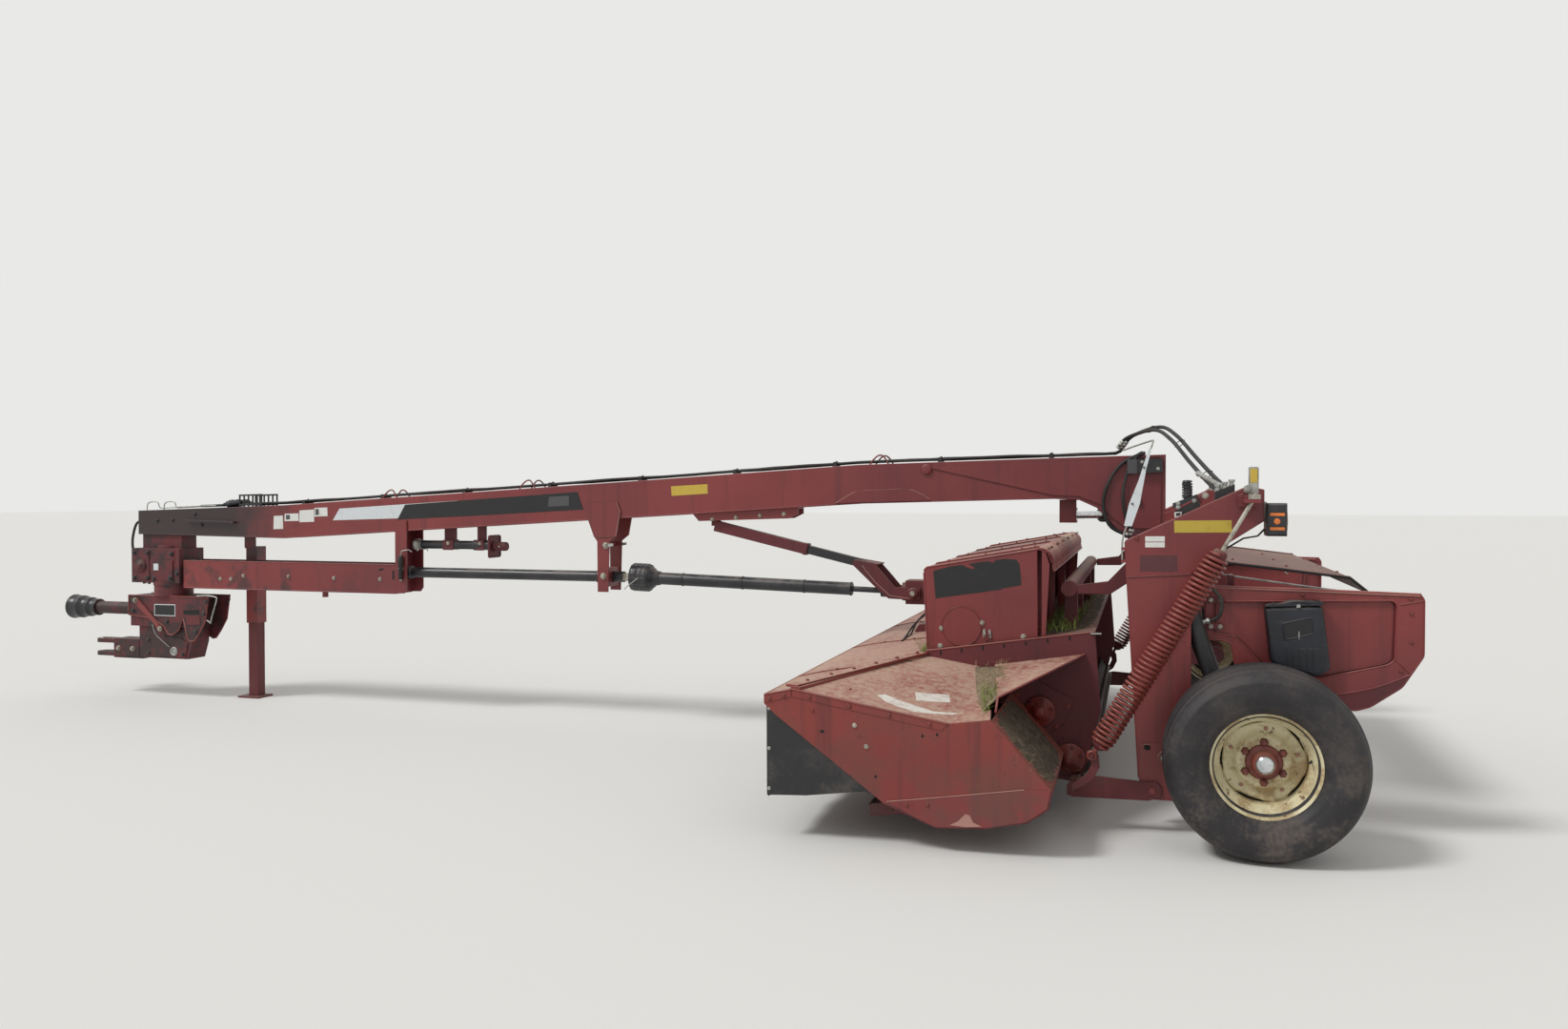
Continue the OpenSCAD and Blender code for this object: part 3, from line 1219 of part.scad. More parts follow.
cross_frame();
frame_legs();
header_links();
float_springs();
spring_rods();
light_brackets();
valve_block();
frame_hoses();
header_frame();
top_cover();
end_panels();
curtain();
hood();
cutterbar();
roll_carriers();
gearbox_base();
document_box();
document_lid();
tongue_beam();
tongue_brackets();
shaft_trough();
front_drive_line();
stowed_jack();
upper_gearbox();
tongue_hoses();
stand_leg();
lower_gearbox();
input_yoke();
swivel_gearbox();
rear_shaft_outer();
rear_shaft_inner();
wheel_arm_left();
wheel_arm_right();
tyre_left();
tyre_right();
rim_left();
rim_right();
lift_barrel_left();
lift_barrel_right();
lift_rod_left();
lift_rod_right();
swing_barrel();
swing_rod();
roll_upper();
roll_lower();
shield_left();
shield_right();
swath_board();
disc_1();
disc_2();
disc_3();
disc_4();
disc_5();
disc_6();
disc_7();
disc_8();
disc_9();
disc_10();
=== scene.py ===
import json
import math
import random

import bpy
from mathutils import Matrix, Vector, noise

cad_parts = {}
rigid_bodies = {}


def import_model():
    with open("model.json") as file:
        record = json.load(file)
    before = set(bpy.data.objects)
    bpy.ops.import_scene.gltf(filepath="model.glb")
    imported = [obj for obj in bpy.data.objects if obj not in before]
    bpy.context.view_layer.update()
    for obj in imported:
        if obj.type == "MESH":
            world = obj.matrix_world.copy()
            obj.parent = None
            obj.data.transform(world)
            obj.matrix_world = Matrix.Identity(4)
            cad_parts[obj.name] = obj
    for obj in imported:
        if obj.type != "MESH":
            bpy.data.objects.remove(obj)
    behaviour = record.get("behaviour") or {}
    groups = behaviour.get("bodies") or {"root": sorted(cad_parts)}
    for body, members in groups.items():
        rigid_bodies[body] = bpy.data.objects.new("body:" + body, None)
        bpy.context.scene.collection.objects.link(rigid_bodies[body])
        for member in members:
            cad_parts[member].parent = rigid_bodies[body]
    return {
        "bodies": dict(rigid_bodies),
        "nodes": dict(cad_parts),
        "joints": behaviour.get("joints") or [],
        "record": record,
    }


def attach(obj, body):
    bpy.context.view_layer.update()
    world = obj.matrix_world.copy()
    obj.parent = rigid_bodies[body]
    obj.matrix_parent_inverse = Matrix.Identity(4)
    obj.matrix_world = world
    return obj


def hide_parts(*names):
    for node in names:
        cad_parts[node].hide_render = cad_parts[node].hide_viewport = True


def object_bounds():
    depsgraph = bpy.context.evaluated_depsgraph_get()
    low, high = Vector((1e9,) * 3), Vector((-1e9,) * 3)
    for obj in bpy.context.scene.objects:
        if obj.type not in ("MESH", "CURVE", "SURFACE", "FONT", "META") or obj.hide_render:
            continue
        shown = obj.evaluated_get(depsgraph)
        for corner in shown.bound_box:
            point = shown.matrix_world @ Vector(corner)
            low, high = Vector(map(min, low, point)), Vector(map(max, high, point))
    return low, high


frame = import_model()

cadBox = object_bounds()
nodes = frame["nodes"]
print("frame loaded with", len(nodes), "nodes")

rearReach = 1.09  # the shields' rear edge behind the tongue's pivot, in metres
pivotX = cadBox[1].x - rearReach
left = -1  # the side nearest to the photograph's viewer
right = 1


# A place in metres from x, y and z in millimetres around the tongue's pivot.
def at(x, y, z):
    return Vector((pivotX + x / 1000, y / 1000, z / 1000))


# A linear colour from the hex value that a picture shows.
def tone(value):
    parts = [int(value[i:i + 2], 16) / 255 for i in (1, 3, 5)]
    return tuple(p / 12.92 if p < 0.04045 else ((p + 0.055) / 1.055) ** 2.4 for p in parts) + (1.0,)


# Shader writing

class Wire:  # wraps a socket, so that maths on it reads as an expression
    def __init__(self, finish, socket):
        self.finish = finish
        self.socket = socket

    def maths(self, operation, first, second):
        return self.finish.node("ShaderNodeMath", {"operation": operation}, {0: first, 1: second})

    def __add__(self, other):
        return self.maths("ADD", self, other)

    def __radd__(self, other):
        return self.maths("ADD", other, self)

    def __sub__(self, other):
        return self.maths("SUBTRACT", self, other)

    def __rsub__(self, other):
        return self.maths("SUBTRACT", other, self)

    def __mul__(self, other):
        return self.maths("MULTIPLY", self, other)

    def __rmul__(self, other):
        return self.maths("MULTIPLY", other, self)

    def output(self, name):
        return Wire(self.finish, self.socket.node.outputs[name])

    def smooth(self, low, high):  # 0 below low, 1 above high and a soft step between
        values = {"Value": self, "From Min": low, "From Max": high}
        return self.finish.node("ShaderNodeMapRange", {"interpolation_type": "SMOOTHSTEP"}, values)


class Finish:  # one material, or the world's tree, and the nodes that it is made of
    def __init__(self, name, tree=None):
        if tree:
            self.tree = tree
            tree.nodes.clear()
            return
        self.material = bpy.data.materials.new(name)
        self.material.use_nodes = True
        self.tree = self.material.node_tree
        self.tree.nodes.clear()
        self.place = self.node("ShaderNodeTexCoord").output("Object")
        self.facing = self.node("ShaderNodeNewGeometry").output("Normal")

    def node(self, kind, settings=None, values=None):
        made = self.tree.nodes.new(kind)
        for key, value in (settings or {}).items():
            setattr(made, key, value)
        for key, value in (values or {}).items():
            if isinstance(value, Wire):
                self.tree.links.new(value.socket, made.inputs[key])
            else:
                made.inputs[key].default_value = value
        return Wire(self, made.outputs[0] if made.outputs else None)

    def part(self, vector, axis):  # one of a vector's three numbers
        return self.node("ShaderNodeSeparateXYZ", None, {0: vector}).output(axis)

    def stretched(self, x, y, z):
        return self.node("ShaderNodeVectorMath", {"operation": "MULTIPLY"}, {0: self.place, 1: (x, y, z)})

    def cloud(self, scale, detail=4, roughness=0.55, place=None):
        values = {"Vector": place or self.place, "Scale": scale, "Detail": detail, "Roughness": roughness}
        return self.node("ShaderNodeTexNoise", None, values)

    def blend(self, share, first, second):
        values = {0: share, 6: first, 7: second}
        mixed = self.node("ShaderNodeMix", {"data_type": "RGBA", "clamp_factor": True}, values)
        return Wire(self, mixed.socket.node.outputs[2])

    def rounded(self, radius):  # the normal that a rounded edge of this radius would have
        return self.node("ShaderNodeBevel", {"samples": 4}, {"Radius": radius})

    def edges(self, soft):  # 1 on an edge and 0 away from it, from the rounded normal
        dot = self.node("ShaderNodeVectorMath", {"operation": "DOT_PRODUCT"}, {0: soft, 1: self.facing})
        return (1 - dot.output("Value")).smooth(0.02, 0.22)

    def bump(self, height, distance, strength=1.0, normal=None):
        values = {"Height": height, "Distance": distance, "Strength": strength}
        if normal:
            values["Normal"] = normal
        return self.node("ShaderNodeBump", None, values)

    def surface(self, values):
        shader = self.node("ShaderNodeBsdfPrincipled", None, values)
        self.node("ShaderNodeOutputMaterial", None, {"Surface": shader})
        return self.material


paintLooks = {
    "machineRed": {"base": "#81302f", "shade": "#6c272b", "faded": "#9c5751", "dust": "#a3826f", "streak": "#4b1f25",
                   "fade": 0.45, "dusty": 0.50, "streaks": 0.45, "rust": 0.35, "rough": 0.42, "clean": 0.22},
    "deckRed": {"base": "#8a3c37", "shade": "#74302d", "faded": "#b27a6e", "dust": "#b89e8a", "streak": "#5b312d",
                "fade": 0.85, "dusty": 0.90, "streaks": 0.25, "rust": 0.35, "rough": 0.62, "clean": 0.08},
    "endRed": {"base": "#85322a", "shade": "#702a27", "faded": "#994e43", "dust": "#856c5c", "streak": "#502327",
               "fade": 0.40, "dusty": 0.50, "streaks": 0.70, "rust": 0.45, "rough": 0.46, "clean": 0.18},
    # shadeRed: a darker copy of the red paint for parts that sit in shade under and inside the machine. It is painted
    # shade, and its extra dust and rust are real dirt.
    "shadeRed": {"base": "#65262a", "shade": "#512025", "faded": "#794142", "dust": "#84705f", "streak": "#391a1d",
                 "fade": 0.35, "dusty": 0.75, "streaks": 0.60, "rust": 0.55, "rough": 0.56, "clean": 0.08},
    "springRed": {"base": "#7d2e27", "shade": "#662624", "faded": "#955446", "dust": "#766050", "streak": "#462020",
                  "fade": 0.50, "dusty": 0.30, "streaks": 0.20, "rust": 0.70, "rough": 0.40, "clean": 0.25},
    "greyBlack": {"base": "#2b2a2c", "shade": "#202022", "faded": "#4c4a4a", "dust": "#7b7066", "streak": "#151516",
                  "fade": 0.50, "dusty": 0.55, "streaks": 0.30, "rust": 0.30, "rough": 0.50, "clean": 0.15},
}
rustTone = "#4a2a1d"
mudTone = "#4c4036"


# Old implement paint: sun-faded clouds, chalky and dusty tops, dark runs below, worn and rusty edges.
def paint(name, look, grease=None):
    f = Finish(name)
    high = f.part(f.place, "Z")
    up = f.part(f.facing, "Z")
    broad = f.cloud(0.8, 3)
    patch = f.cloud(4.5, 7, 0.62)
    grain = f.cloud(85, 4, 0.6)
    runs = f.cloud(1, 6, 0.62, f.stretched(16, 16, 1.0))
    soft = f.rounded(0.0035)
    worn = f.edges(soft)
    colour = f.blend(broad.smooth(0.35, 0.65), tone(look["shade"]), tone(look["base"]))
    chalk = (0.55 * patch + 0.45 * broad).smooth(0.40, 0.66)
    top = up.smooth(0.15, 0.9)
    colour = f.blend(chalk * look["fade"] * (0.18 + 0.82 * top), colour, tone(look["faded"]))
    colour = f.blend(runs.smooth(0.50, 0.74) * look["streaks"] * (1 - top), colour, tone(look["streak"]))
    speckle = f.cloud(34, 7, 0.72)
    settled = (0.25 * broad + 0.20 * patch + 0.55 * speckle).smooth(0.38, 0.60) * top
    colour = f.blend(settled * look["dusty"], colour, tone(look["dust"]))
    splash = (1 - high.smooth(0.15, 0.75)) * patch.smooth(0.42, 0.62)
    colour = f.blend(splash * 0.45, colour, tone(mudTone))
    chips = f.cloud(36, 6, 0.7).smooth(0.60, 0.66) * patch.smooth(0.48, 0.60)
    rust = (worn * f.cloud(24, 5, 0.7).smooth(0.44, 0.60) + chips) * look["rust"]
    colour = f.blend(rust, colour, tone(rustTone))
    gloss = look["rough"] + 0.16 * patch + 0.22 * settled * look["dusty"] + 0.2 * rust
    if grease:
        oily = grease(f, patch)
        colour = f.blend(oily * 0.93, colour, tone("#242021"))
        gloss = gloss - 0.12 * oily
    dents = f.bump(f.cloud(2.6, 2), 0.010, 0.35, soft)
    skin = f.bump(0.6 * f.cloud(260, 3) + 0.9 * settled - 0.7 * rust, 0.0006, 0.5, dents)
    return f.surface({"Base Color": colour, "Roughness": gloss, "Normal": skin, "Coat Weight": look["clean"],
                      "Coat Roughness": 0.28, "Specular IOR Level": 0.45})


# Grease and soot blacken the beam's front end, and leave smudges on the trough and stand below it.
def frontGrease(f, patch):
    along = f.part(f.place, "X")
    start = pivotX - 6.35
    beam = f.part(f.place, "Z").smooth(1.12, 1.20)
    front = 1 - (along + 0.9 * (patch - 0.5)).smooth(start, start + 0.75)
    smudges = patch.smooth(0.50, 0.64) * (1 - along.smooth(start + 0.4, start + 1.7)) * 0.75
    return front * beam + smudges * (1 - beam)


# Old grease on castings and shafts.
def castingGrease(f, patch):
    return (patch + 0.25 * f.cloud(18, 5, 0.6)).smooth(0.52, 0.72) * 0.85


def rubber(name, dark, pale, dust, scale, ripple):
    f = Finish(name)
    patch = f.cloud(5, 6, 0.6)
    grain = f.cloud(scale, 5, 0.62)
    high = f.part(f.place, "Z")
    colour = f.blend(patch.smooth(0.38, 0.66), tone(dark), tone(pale))
    settled = (0.6 * patch + 0.4 * grain).smooth(0.46, 0.66)
    colour = f.blend(settled * (0.25 + 0.35 * (1 - high.smooth(0.1, 0.6))), colour, tone(dust))
    skin = f.bump(0.5 * grain + 0.5 * f.cloud(scale * 5, 3), ripple, 0.5, f.rounded(0.003))
    return f.surface({"Base Color": colour, "Roughness": 0.58 + 0.22 * settled, "Normal": skin,
        "Specular IOR Level": 0.42})


def plastic(name, dark, pale, rough):
    f = Finish(name)
    patch = f.cloud(7, 6, 0.6)
    up = f.part(f.facing, "Z").smooth(0.1, 0.9)
    scuffs = f.cloud(1, 5, 0.7, f.stretched(6, 60, 60)).smooth(0.60, 0.70)
    dusty = up * patch.smooth(0.40, 0.62)
    colour = f.blend(patch.smooth(0.4, 0.65), tone(dark), tone(pale))
    colour = f.blend(scuffs * 0.30, colour, tone("#77736f"))
    colour = f.blend(dusty * 0.45, colour, tone("#8b8074"))
    skin = f.bump(f.cloud(420, 2), 0.0003, 0.5, f.rounded(0.002))
    return f.surface({"Base Color": colour, "Roughness": rough + 0.2 * dusty + 0.1 * scuffs, "Normal": skin})


def metal(name, bright, dull, rust, rough, shine):
    f = Finish(name)
    patch = f.cloud(28, 6, 0.65)
    fine = f.cloud(240, 3)
    rusty = (0.7 * patch + 0.3 * f.cloud(110, 4)).smooth(0.62 - 0.3 * rust, 0.74 - 0.2 * rust)
    colour = f.blend(patch.smooth(0.35, 0.65), tone(bright), tone(dull))
    colour = f.blend(rusty * min(1, rust + 0.25), colour, tone("#5b3320"))
    skin = f.bump(0.6 * fine + 0.6 * rusty, 0.0004, 0.5, f.rounded(0.0015))
    return f.surface({"Base Color": colour, "Metallic": shine * (1 - 0.85 * rusty), "Normal": skin,
                      "Roughness": rough + 0.35 * rusty + 0.1 * fine})


# Cream rim enamel with rust runs, chips on its edges and brown dirt in the dish.
def rimEnamel():
    f = Finish("rimEnamel")
    patch = f.cloud(9, 7, 0.62)
    grain = f.cloud(70, 5, 0.65)
    soft = f.rounded(0.004)
    worn = f.edges(soft)
    colour = f.blend(patch.smooth(0.40, 0.64), tone("#d6cda9"), tone("#b9a981"))
    stain = (0.6 * patch + 0.4 * grain).smooth(0.47, 0.62)
    colour = f.blend(stain * 0.55, colour, tone("#8a6b44"))
    rust = worn * grain.smooth(0.42, 0.56) + f.cloud(30, 6, 0.7).smooth(0.60, 0.66)
    colour = f.blend(rust * 0.85, colour, tone("#5d3520"))
    skin = f.bump(0.5 * grain + 0.8 * rust, 0.0006, 0.6, soft)
    return f.surface({"Base Color": colour, "Roughness": 0.46 + 0.25 * stain + 0.15 * rust, "Normal": skin,
                      "Coat Weight": 0.15, "Coat Roughness": 0.3})


# A blank sticker or plate: one flat colour that has yellowed, scuffed and caught dirt.
def sticker(name, value, dirt="#6b5b4d", rough=0.42, torn=0.0):
    f = Finish(name)
    patch = f.cloud(22, 6, 0.65)
    fine = f.cloud(160, 4, 0.6)
    marks = (0.6 * patch + 0.4 * fine).smooth(0.50 - 0.12 * torn, 0.68 - 0.12 * torn)
    colour = f.blend(marks * (0.35 + 0.5 * torn), tone(value), tone(dirt))
    return f.surface({"Base Color": colour, "Roughness": rough + 0.25 * marks,
                      "Normal": f.bump(0.4 * fine + 0.4 * patch, 0.0004, 0.4)})


def lens(name, value, glow):
    f = Finish(name)
    ribs = f.node("ShaderNodeTexWave", {"bands_direction": "Z"}, {"Vector": f.place, "Scale": 42, "Distortion": 0.4})
    colour = f.blend(f.cloud(40, 4).smooth(0.45, 0.7) * 0.35, tone(value), tone(glow))
    return f.surface({"Base Color": colour, "Roughness": 0.18 + 0.1 * f.cloud(60, 3), "Coat Weight": 0.6,
                      "Normal": f.bump(ribs, 0.0008, 0.6)})


# Caked soil and chaff.
def soil(name, dark, pale):
    f = Finish(name)
    lumps = f.cloud(30, 8, 0.7)
    bits = f.cloud(1, 5, 0.7, f.stretched(140, 40, 90))
    colour = f.blend(lumps.smooth(0.36, 0.64), tone(dark), tone(pale))
    colour = f.blend(bits.smooth(0.58, 0.66) * 0.6, colour, tone("#9c8a62"))
    return f.surface({"Base Color": colour, "Roughness": 0.92, "Normal": f.bump(lumps + 0.5 * bits, 0.004, 0.9)})


def blade(name, young, old):
    f = Finish(name)
    colour = f.blend(f.cloud(13, 3).smooth(0.35, 0.65), tone(young), tone(old))
    return f.surface({"Base Color": colour, "Roughness": 0.6 + 0.1 * f.cloud(60, 2)})


machineRed = paint("machineRed", paintLooks["machineRed"])
tongueRed = paint("tongueRed", paintLooks["machineRed"], frontGrease)
# The gearboxes under the beam take the shaded copy of the paint: painted shade, with real grease.
hitchRed = paint("hitchRed", paintLooks["shadeRed"], castingGrease)
deckRed = paint("deckRed", paintLooks["deckRed"])
endRed = paint("endRed", paintLooks["endRed"])
shadeRed = paint("shadeRed", paintLooks["shadeRed"])
springRed = paint("springRed", paintLooks["springRed"])
greyBlack = paint("greyBlack", paintLooks["greyBlack"])
tyreRubber = rubber("tyreRubber", "#262426", "#343133", "#6d6258", 60, 0.0008)
curtainRubber = rubber("curtainRubber", "#28282a", "#333233", "#5f564d", 35, 0.0012)
hoseRubber = rubber("hoseRubber", "#1c1c1d", "#2a2a2a", "#6b6156", 90, 0.0004)
rollRubber = rubber("rollRubber", "#2a2726", "#3c3530", "#5d4c3c", 50, 0.0010)
guardPlastic = plastic("guardPlastic", "#242427", "#343438", 0.34)
boxPlastic = plastic("boxPlastic", "#181a21", "#24262f", 0.42)
boltSteel = metal("boltSteel", "#b9b4a8", "#8d877b", 0.25, 0.38, 0.85)
galvanised = metal("galvanised", "#b5b5b0", "#94958f", 0.10, 0.42, 0.75)
chrome = metal("chrome", "#d8dadb", "#b7babc", 0.0, 0.14, 1.0)
bladeSteel = metal("bladeSteel", "#77706a", "#4f463f", 0.65, 0.46, 0.7)
rimPaint = rimEnamel()
olive = sticker("oliveReflector", "#b7a13a", "#7d6c35")
yellow = sticker("yellowReflector", "#c4a842", "#8b7636")
blankWhite = sticker("blankWhite", "#d9d9d4", "#8d8780")
blankBlack = sticker("blankBlack", "#19191b", "#3c3635")
blankPale = sticker("blankPale", "#cfd4d6", "#8f8d88")
blankGrey = sticker("blankGrey", "#4a4a4d", "#3c3635")
tornWhite = sticker("tornSticker", "#d6d1c7", "#8b5a50", 0.7, 0.35)
amber = lens("amberLens", "#e0701a", "#f59a3c")
soilDark = soil("soilDark", "#3a3128", "#5d5141")
soilDry = soil("soilDry", "#6a5b48", "#8f7f66")
grassGreen = blade("grassGreen", "#5f7d2b", "#8c9a4d")
straw = blade("straw", "#a8946a", "#7d6a48")
# Pale pinkish finish for thin lines and patches. Along the swath board's edge and the end panels' skid it paints a
# highlight; elsewhere it marks rubbed paint.
worn = sticker("wornEdgeAndHighlight", "#a97c70", "#753932", 0.5)
ghostRed = sticker("ghostRed", "#54282d", "#6d4142", 0.45)
# Near-black sheet laid over holes, slots, a crack and the gap behind the wheel's disc: painted shade for the dark
# inside them.
holeShade = sticker("holeShade", "#141314", "#2b2322", 0.8)
print("finishes made:", len(bpy.data.materials))


# Mesh writing

class Shape:  # gathers points and faces, with a finish for each face, into one piece
    def __init__(self, name, finish):
        self.name = name
        self.points = []
        self.faces = []
        self.finishes = [finish]
        self.marks = []  # which finish each face has
        self.smooths = []
        self.current = 0

    def use(self, finish):
        if finish not in self.finishes:
            self.finishes.append(finish)
        self.current = self.finishes.index(finish)
        return self

    def add(self, points, faces, smooth=True):
        first = len(self.points)
        self.points.extend(points)
        for face in faces:
            self.faces.append([first + i for i in face])
            self.marks.append(self.current)
            self.smooths.append(smooth)
        return self

    def block(self, low, high):
        corners = [at(x, y, z) for x in (low[0], high[0]) for y in (low[1], high[1]) for z in (low[2], high[2])]
        faces = [(0, 1, 3, 2), (4, 6, 7, 5), (0, 4, 5, 1), (2, 3, 7, 6), (0, 2, 6, 4), (1, 5, 7, 3)]
        return self.add(corners, faces, False)

    # A side plate from its outline in x and z, between y0 and y1.
    def plate(self, outline, y0, y1):
        return self.prism([at(x, y0, z) for x, z in outline], Vector((0, (y1 - y0) / 1000, 0)))

    # A flat outline in space, thickened along an offset.
    def prism(self, outline, offset):
        n = len(outline)
        centre = sum(outline, Vector()) / n
        turn = sum(((outline[i] - centre).cross(outline[(i + 1) % n] - centre) for i in range(n)), Vector())
        ring = list(outline) if turn.dot(offset) < 0 else list(reversed(outline))
        faces = [list(range(n)), list(range(2 * n - 1, n - 1, -1))]
        faces += [[(i + 1) % n, i, n + i, n + (i + 1) % n] for i in range(n)]
        return self.add(ring + [p + offset for p in ring], faces, False)

    # Rings of points joined into a skin, with its ends closed if wanted.
    def skin(self, rings, closed=True, smooth=True):
        n = len(rings[0])
        points = [p for ring in rings for p in ring]
        faces = [[i * n + k, i * n + (k + 1) % n, (i + 1) * n + (k + 1) % n, (i + 1) * n + k]
                 for i in range(len(rings) - 1) for k in range(n)]
        self.add(points, faces, smooth)
        if closed:
            self.add(rings[0], [list(range(n - 1, -1, -1))], False)
            self.add(rings[-1], [list(range(n))], False)
        return self

    # A round bar that follows a path of points in metres.
    def sweep(self, path, radius, sides=10):
        rings = []
        side = None
        for i, p in enumerate(path):
            ahead = (path[min(i + 1, len(path) - 1)] - path[max(i - 1, 0)]).normalized()
            if side is None:
                side = ahead.orthogonal().normalized()
            side = (side - ahead * side.dot(ahead)).normalized()
            other = ahead.cross(side)
            r = radius(i / (len(path) - 1)) if callable(radius) else radius
            rings.append([p + r / 1000 * (math.cos(a) * side + math.sin(a) * other)
                          for a in (2 * math.pi * k / sides for k in range(sides))])
        return self.skin(rings)

    def rod(self, start, end, radius, sides=20):
        return self.sweep([at(*start), at(*end)], radius, sides)

    # Turns a profile of (radius, height) in millimetres round an axis through a place in metres.
    def lathe(self, profile, place, axis, sides=32, smooth=True, closed=True):
        turn = Vector(axis).to_track_quat("Z", "Y")
        rings = []
        for radius, height in profile:
            rings.append([place + turn @ Vector((radius * math.cos(a), radius * math.sin(a), height)) / 1000
                          for a in (2 * math.pi * k / sides for k in range(sides))])
        return self.skin(rings, closed, smooth)

    # A hexagon bolt's head on a washer, at a place in millimetres, facing along an axis.
    def bolt(self, place, axis, across=18, washer=True):
        spot = at(*place)
        if washer:
            self.lathe([(across * 0.80, -1), (across * 0.80, 1.6), (across * 0.76, 2.4)], spot, axis, 16, False)
        r = across * 0.577
        self.lathe([(r, 1), (r, across * 0.52), (r * 0.84, across * 0.62)], spot, axis, 6, False)
        return self

    def finish(self, body, slot=None, bevel=0, stands=()):
        mesh = bpy.data.meshes.new(self.name)
        mesh.from_pydata(self.points, [], self.faces)
        for finish in self.finishes:
            mesh.materials.append(finish)
        mesh.polygons.foreach_set("material_index", self.marks)
        mesh.polygons.foreach_set("use_smooth", self.smooths)
        mesh.validate()
        mesh.update()
        piece = bpy.data.objects.new(self.name, mesh)
        bpy.context.scene.collection.objects.link(piece)
        if bevel:
            rounding = piece.modifiers.new("rounding", "BEVEL")
            rounding.width = bevel / 1000
            rounding.segments = 2
            rounding.limit_method = "ANGLE"
            rounding.angle_limit = math.radians(50)
        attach(piece, body)
        if stands:
            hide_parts(*stands)
        return piece


# Points on a smooth curve through the chosen points.
def curveThrough(points, steps):
    path = []
    last = len(points) - 1
    for i in range(last):
        a, b, c, d = points[max(i - 1, 0)], points[i], points[i + 1], points[min(i + 2, last)]
        for s in range(steps):
            t = s / steps
            path.append(0.5 * (2 * b + (c - a) * t + (2 * a - 5 * b + 4 * c - d) * t ** 2 + (3 * b - a - 3 * c + d) * t ** 3))
    return path + [points[-1]]


# The height of a line through (x, z) points at x.
def lineAt(points, x):
    for (x0, z0), (x1, z1) in zip(points, points[1:]):
        if x0 <= x <= x1:
            return z0 + (z1 - z0) * (x - x0) / (x1 - x0)
    return points[0][1] if x < points[0][0] else points[-1][1]


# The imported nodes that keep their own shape, and the finish of each

nodeFinishes = {
    machineRed: ["cross_frame", "frame_legs", "hood", "shield_left", "shield_right"],
    tongueRed: ["tongue_beam", "tongue_brackets", "shaft_trough"],
    hitchRed: ["upper_gearbox", "lower_gearbox"],
    deckRed: ["top_cover"],
    endRed: ["end_panels"],
    # Parts under and inside the header, the swath board and the stand take the shaded copy of the paint, which paints
    # their shade.
    shadeRed: ["header_links", "header_frame", "cutterbar", "roll_carriers", "gearbox_base", "swivel_gearbox",
               "wheel_arm_left", "wheel_arm_right", "swath_board", "stand_leg"],
    guardPlastic: ["front_drive_line", "rear_shaft_outer", "rear_shaft_inner"],
    greyBlack: ["lift_barrel_left", "lift_barrel_right", "swing_barrel", "valve_block"],
    boltSteel: ["spring_rods", "input_yoke"],
    chrome: ["lift_rod_left", "lift_rod_right", "swing_rod"],
    rollRubber: ["roll_upper", "roll_lower"],
    bladeSteel: [f"disc_{i}" for i in range(1, 11)],
}
for finish, names in nodeFinishes.items():
    for name in names:
        for place in nodes[name].material_slots:
            place.material = finish
print("frame's own finishes set")


# Wheels

wheelSizes = {"x": 440, "y": 1806, "radius": 393.5, "half": 171.5, "rimRadius": 208, "rimHalf": 127, "studs": 6,
              "studCircle": 82, "lobes": 5}


def tyreProfile(w):
    outer = w["radius"]
    half = w["half"]
    bead = [(w["rimRadius"] + 1, 118), (w["rimRadius"] + 7, 133), (w["rimRadius"] + 16, 141), (233, 149), (239, 153),
            (245, 156), (252, 157)]
    wall = [(262, 162), (280, 168), (300, 171), (320, half), (338, 169), (342, 169.5), (346, 167), (360, 158),
        (371, 146)]
    shoulder = [(377, 136), (380, 129), (377, 127), (374, 124), (377, 120), (383, 118), (387, 110), (389, 100)]
    side = bead + wall + shoulder
    tread = []
    for middle in (73, 25):
        tread += [(outer - 1.5 - 0.02 * middle, middle + 7), (outer - 9, middle + 5), (outer - 9, middle - 5),
                  (outer - 0.02 * middle, middle - 7)]
    near = side + tread
    return near + [(r, -h) for r, h in reversed(near)] + [(w["rimRadius"] - 12, -112), (w["rimRadius"] - 12, 112),
        near[0]]


def rimProfile(w):
    r = w["rimRadius"]
    half = w["rimHalf"]
    outside = [(r + 3, half), (r + 6, half + 1), (r + 8, half - 3), (r + 5, half - 8), (r - 1, half - 13), (r - 1, 90),
               (r - 5, 80), (r - 32, 50), (r - 33, -62), (r - 5, -76), (r - 1, -84), (r - 1, 13 - half), (r + 6, -half)]
    inside = [(r + 2, -half), (r - 6, 14 - half), (r - 9, -78), (r - 39, -58), (r - 39, 46), (r - 36, 54), (r - 14, 82),
              (r - 9, 92), (r - 8, half - 16), (r - 3, half - 5), (r + 3, half)]
    return outside + inside


def scallopedDisc(shape, place, axis, w):
    turn = Vector(axis).to_track_quat("Z", "Y")
    sides = 80
    profile = [(44, 32), (98, 30), (106, 26), (114, 14), (125, 4), (140, 1), (155, 4), (162, 1), (160, -7), (140, -8),
               (124, -5), (108, 6), (96, 22), (44, 24)]
    rings = []
    for radius, height in profile:
        ring = []
        for k in range(sides):
            a = 2 * math.pi * k / sides
            wave = max(-1, min(1, 2.2 * math.cos(w["lobes"] * a)))
            reach = radius + (1 + 5 * wave if radius > 150 else 0)
            ring.append(place + turn @ Vector((reach * math.cos(a), reach * math.sin(a), height)) / 1000)
        rings.append(ring)
    shape.skin(rings, False)


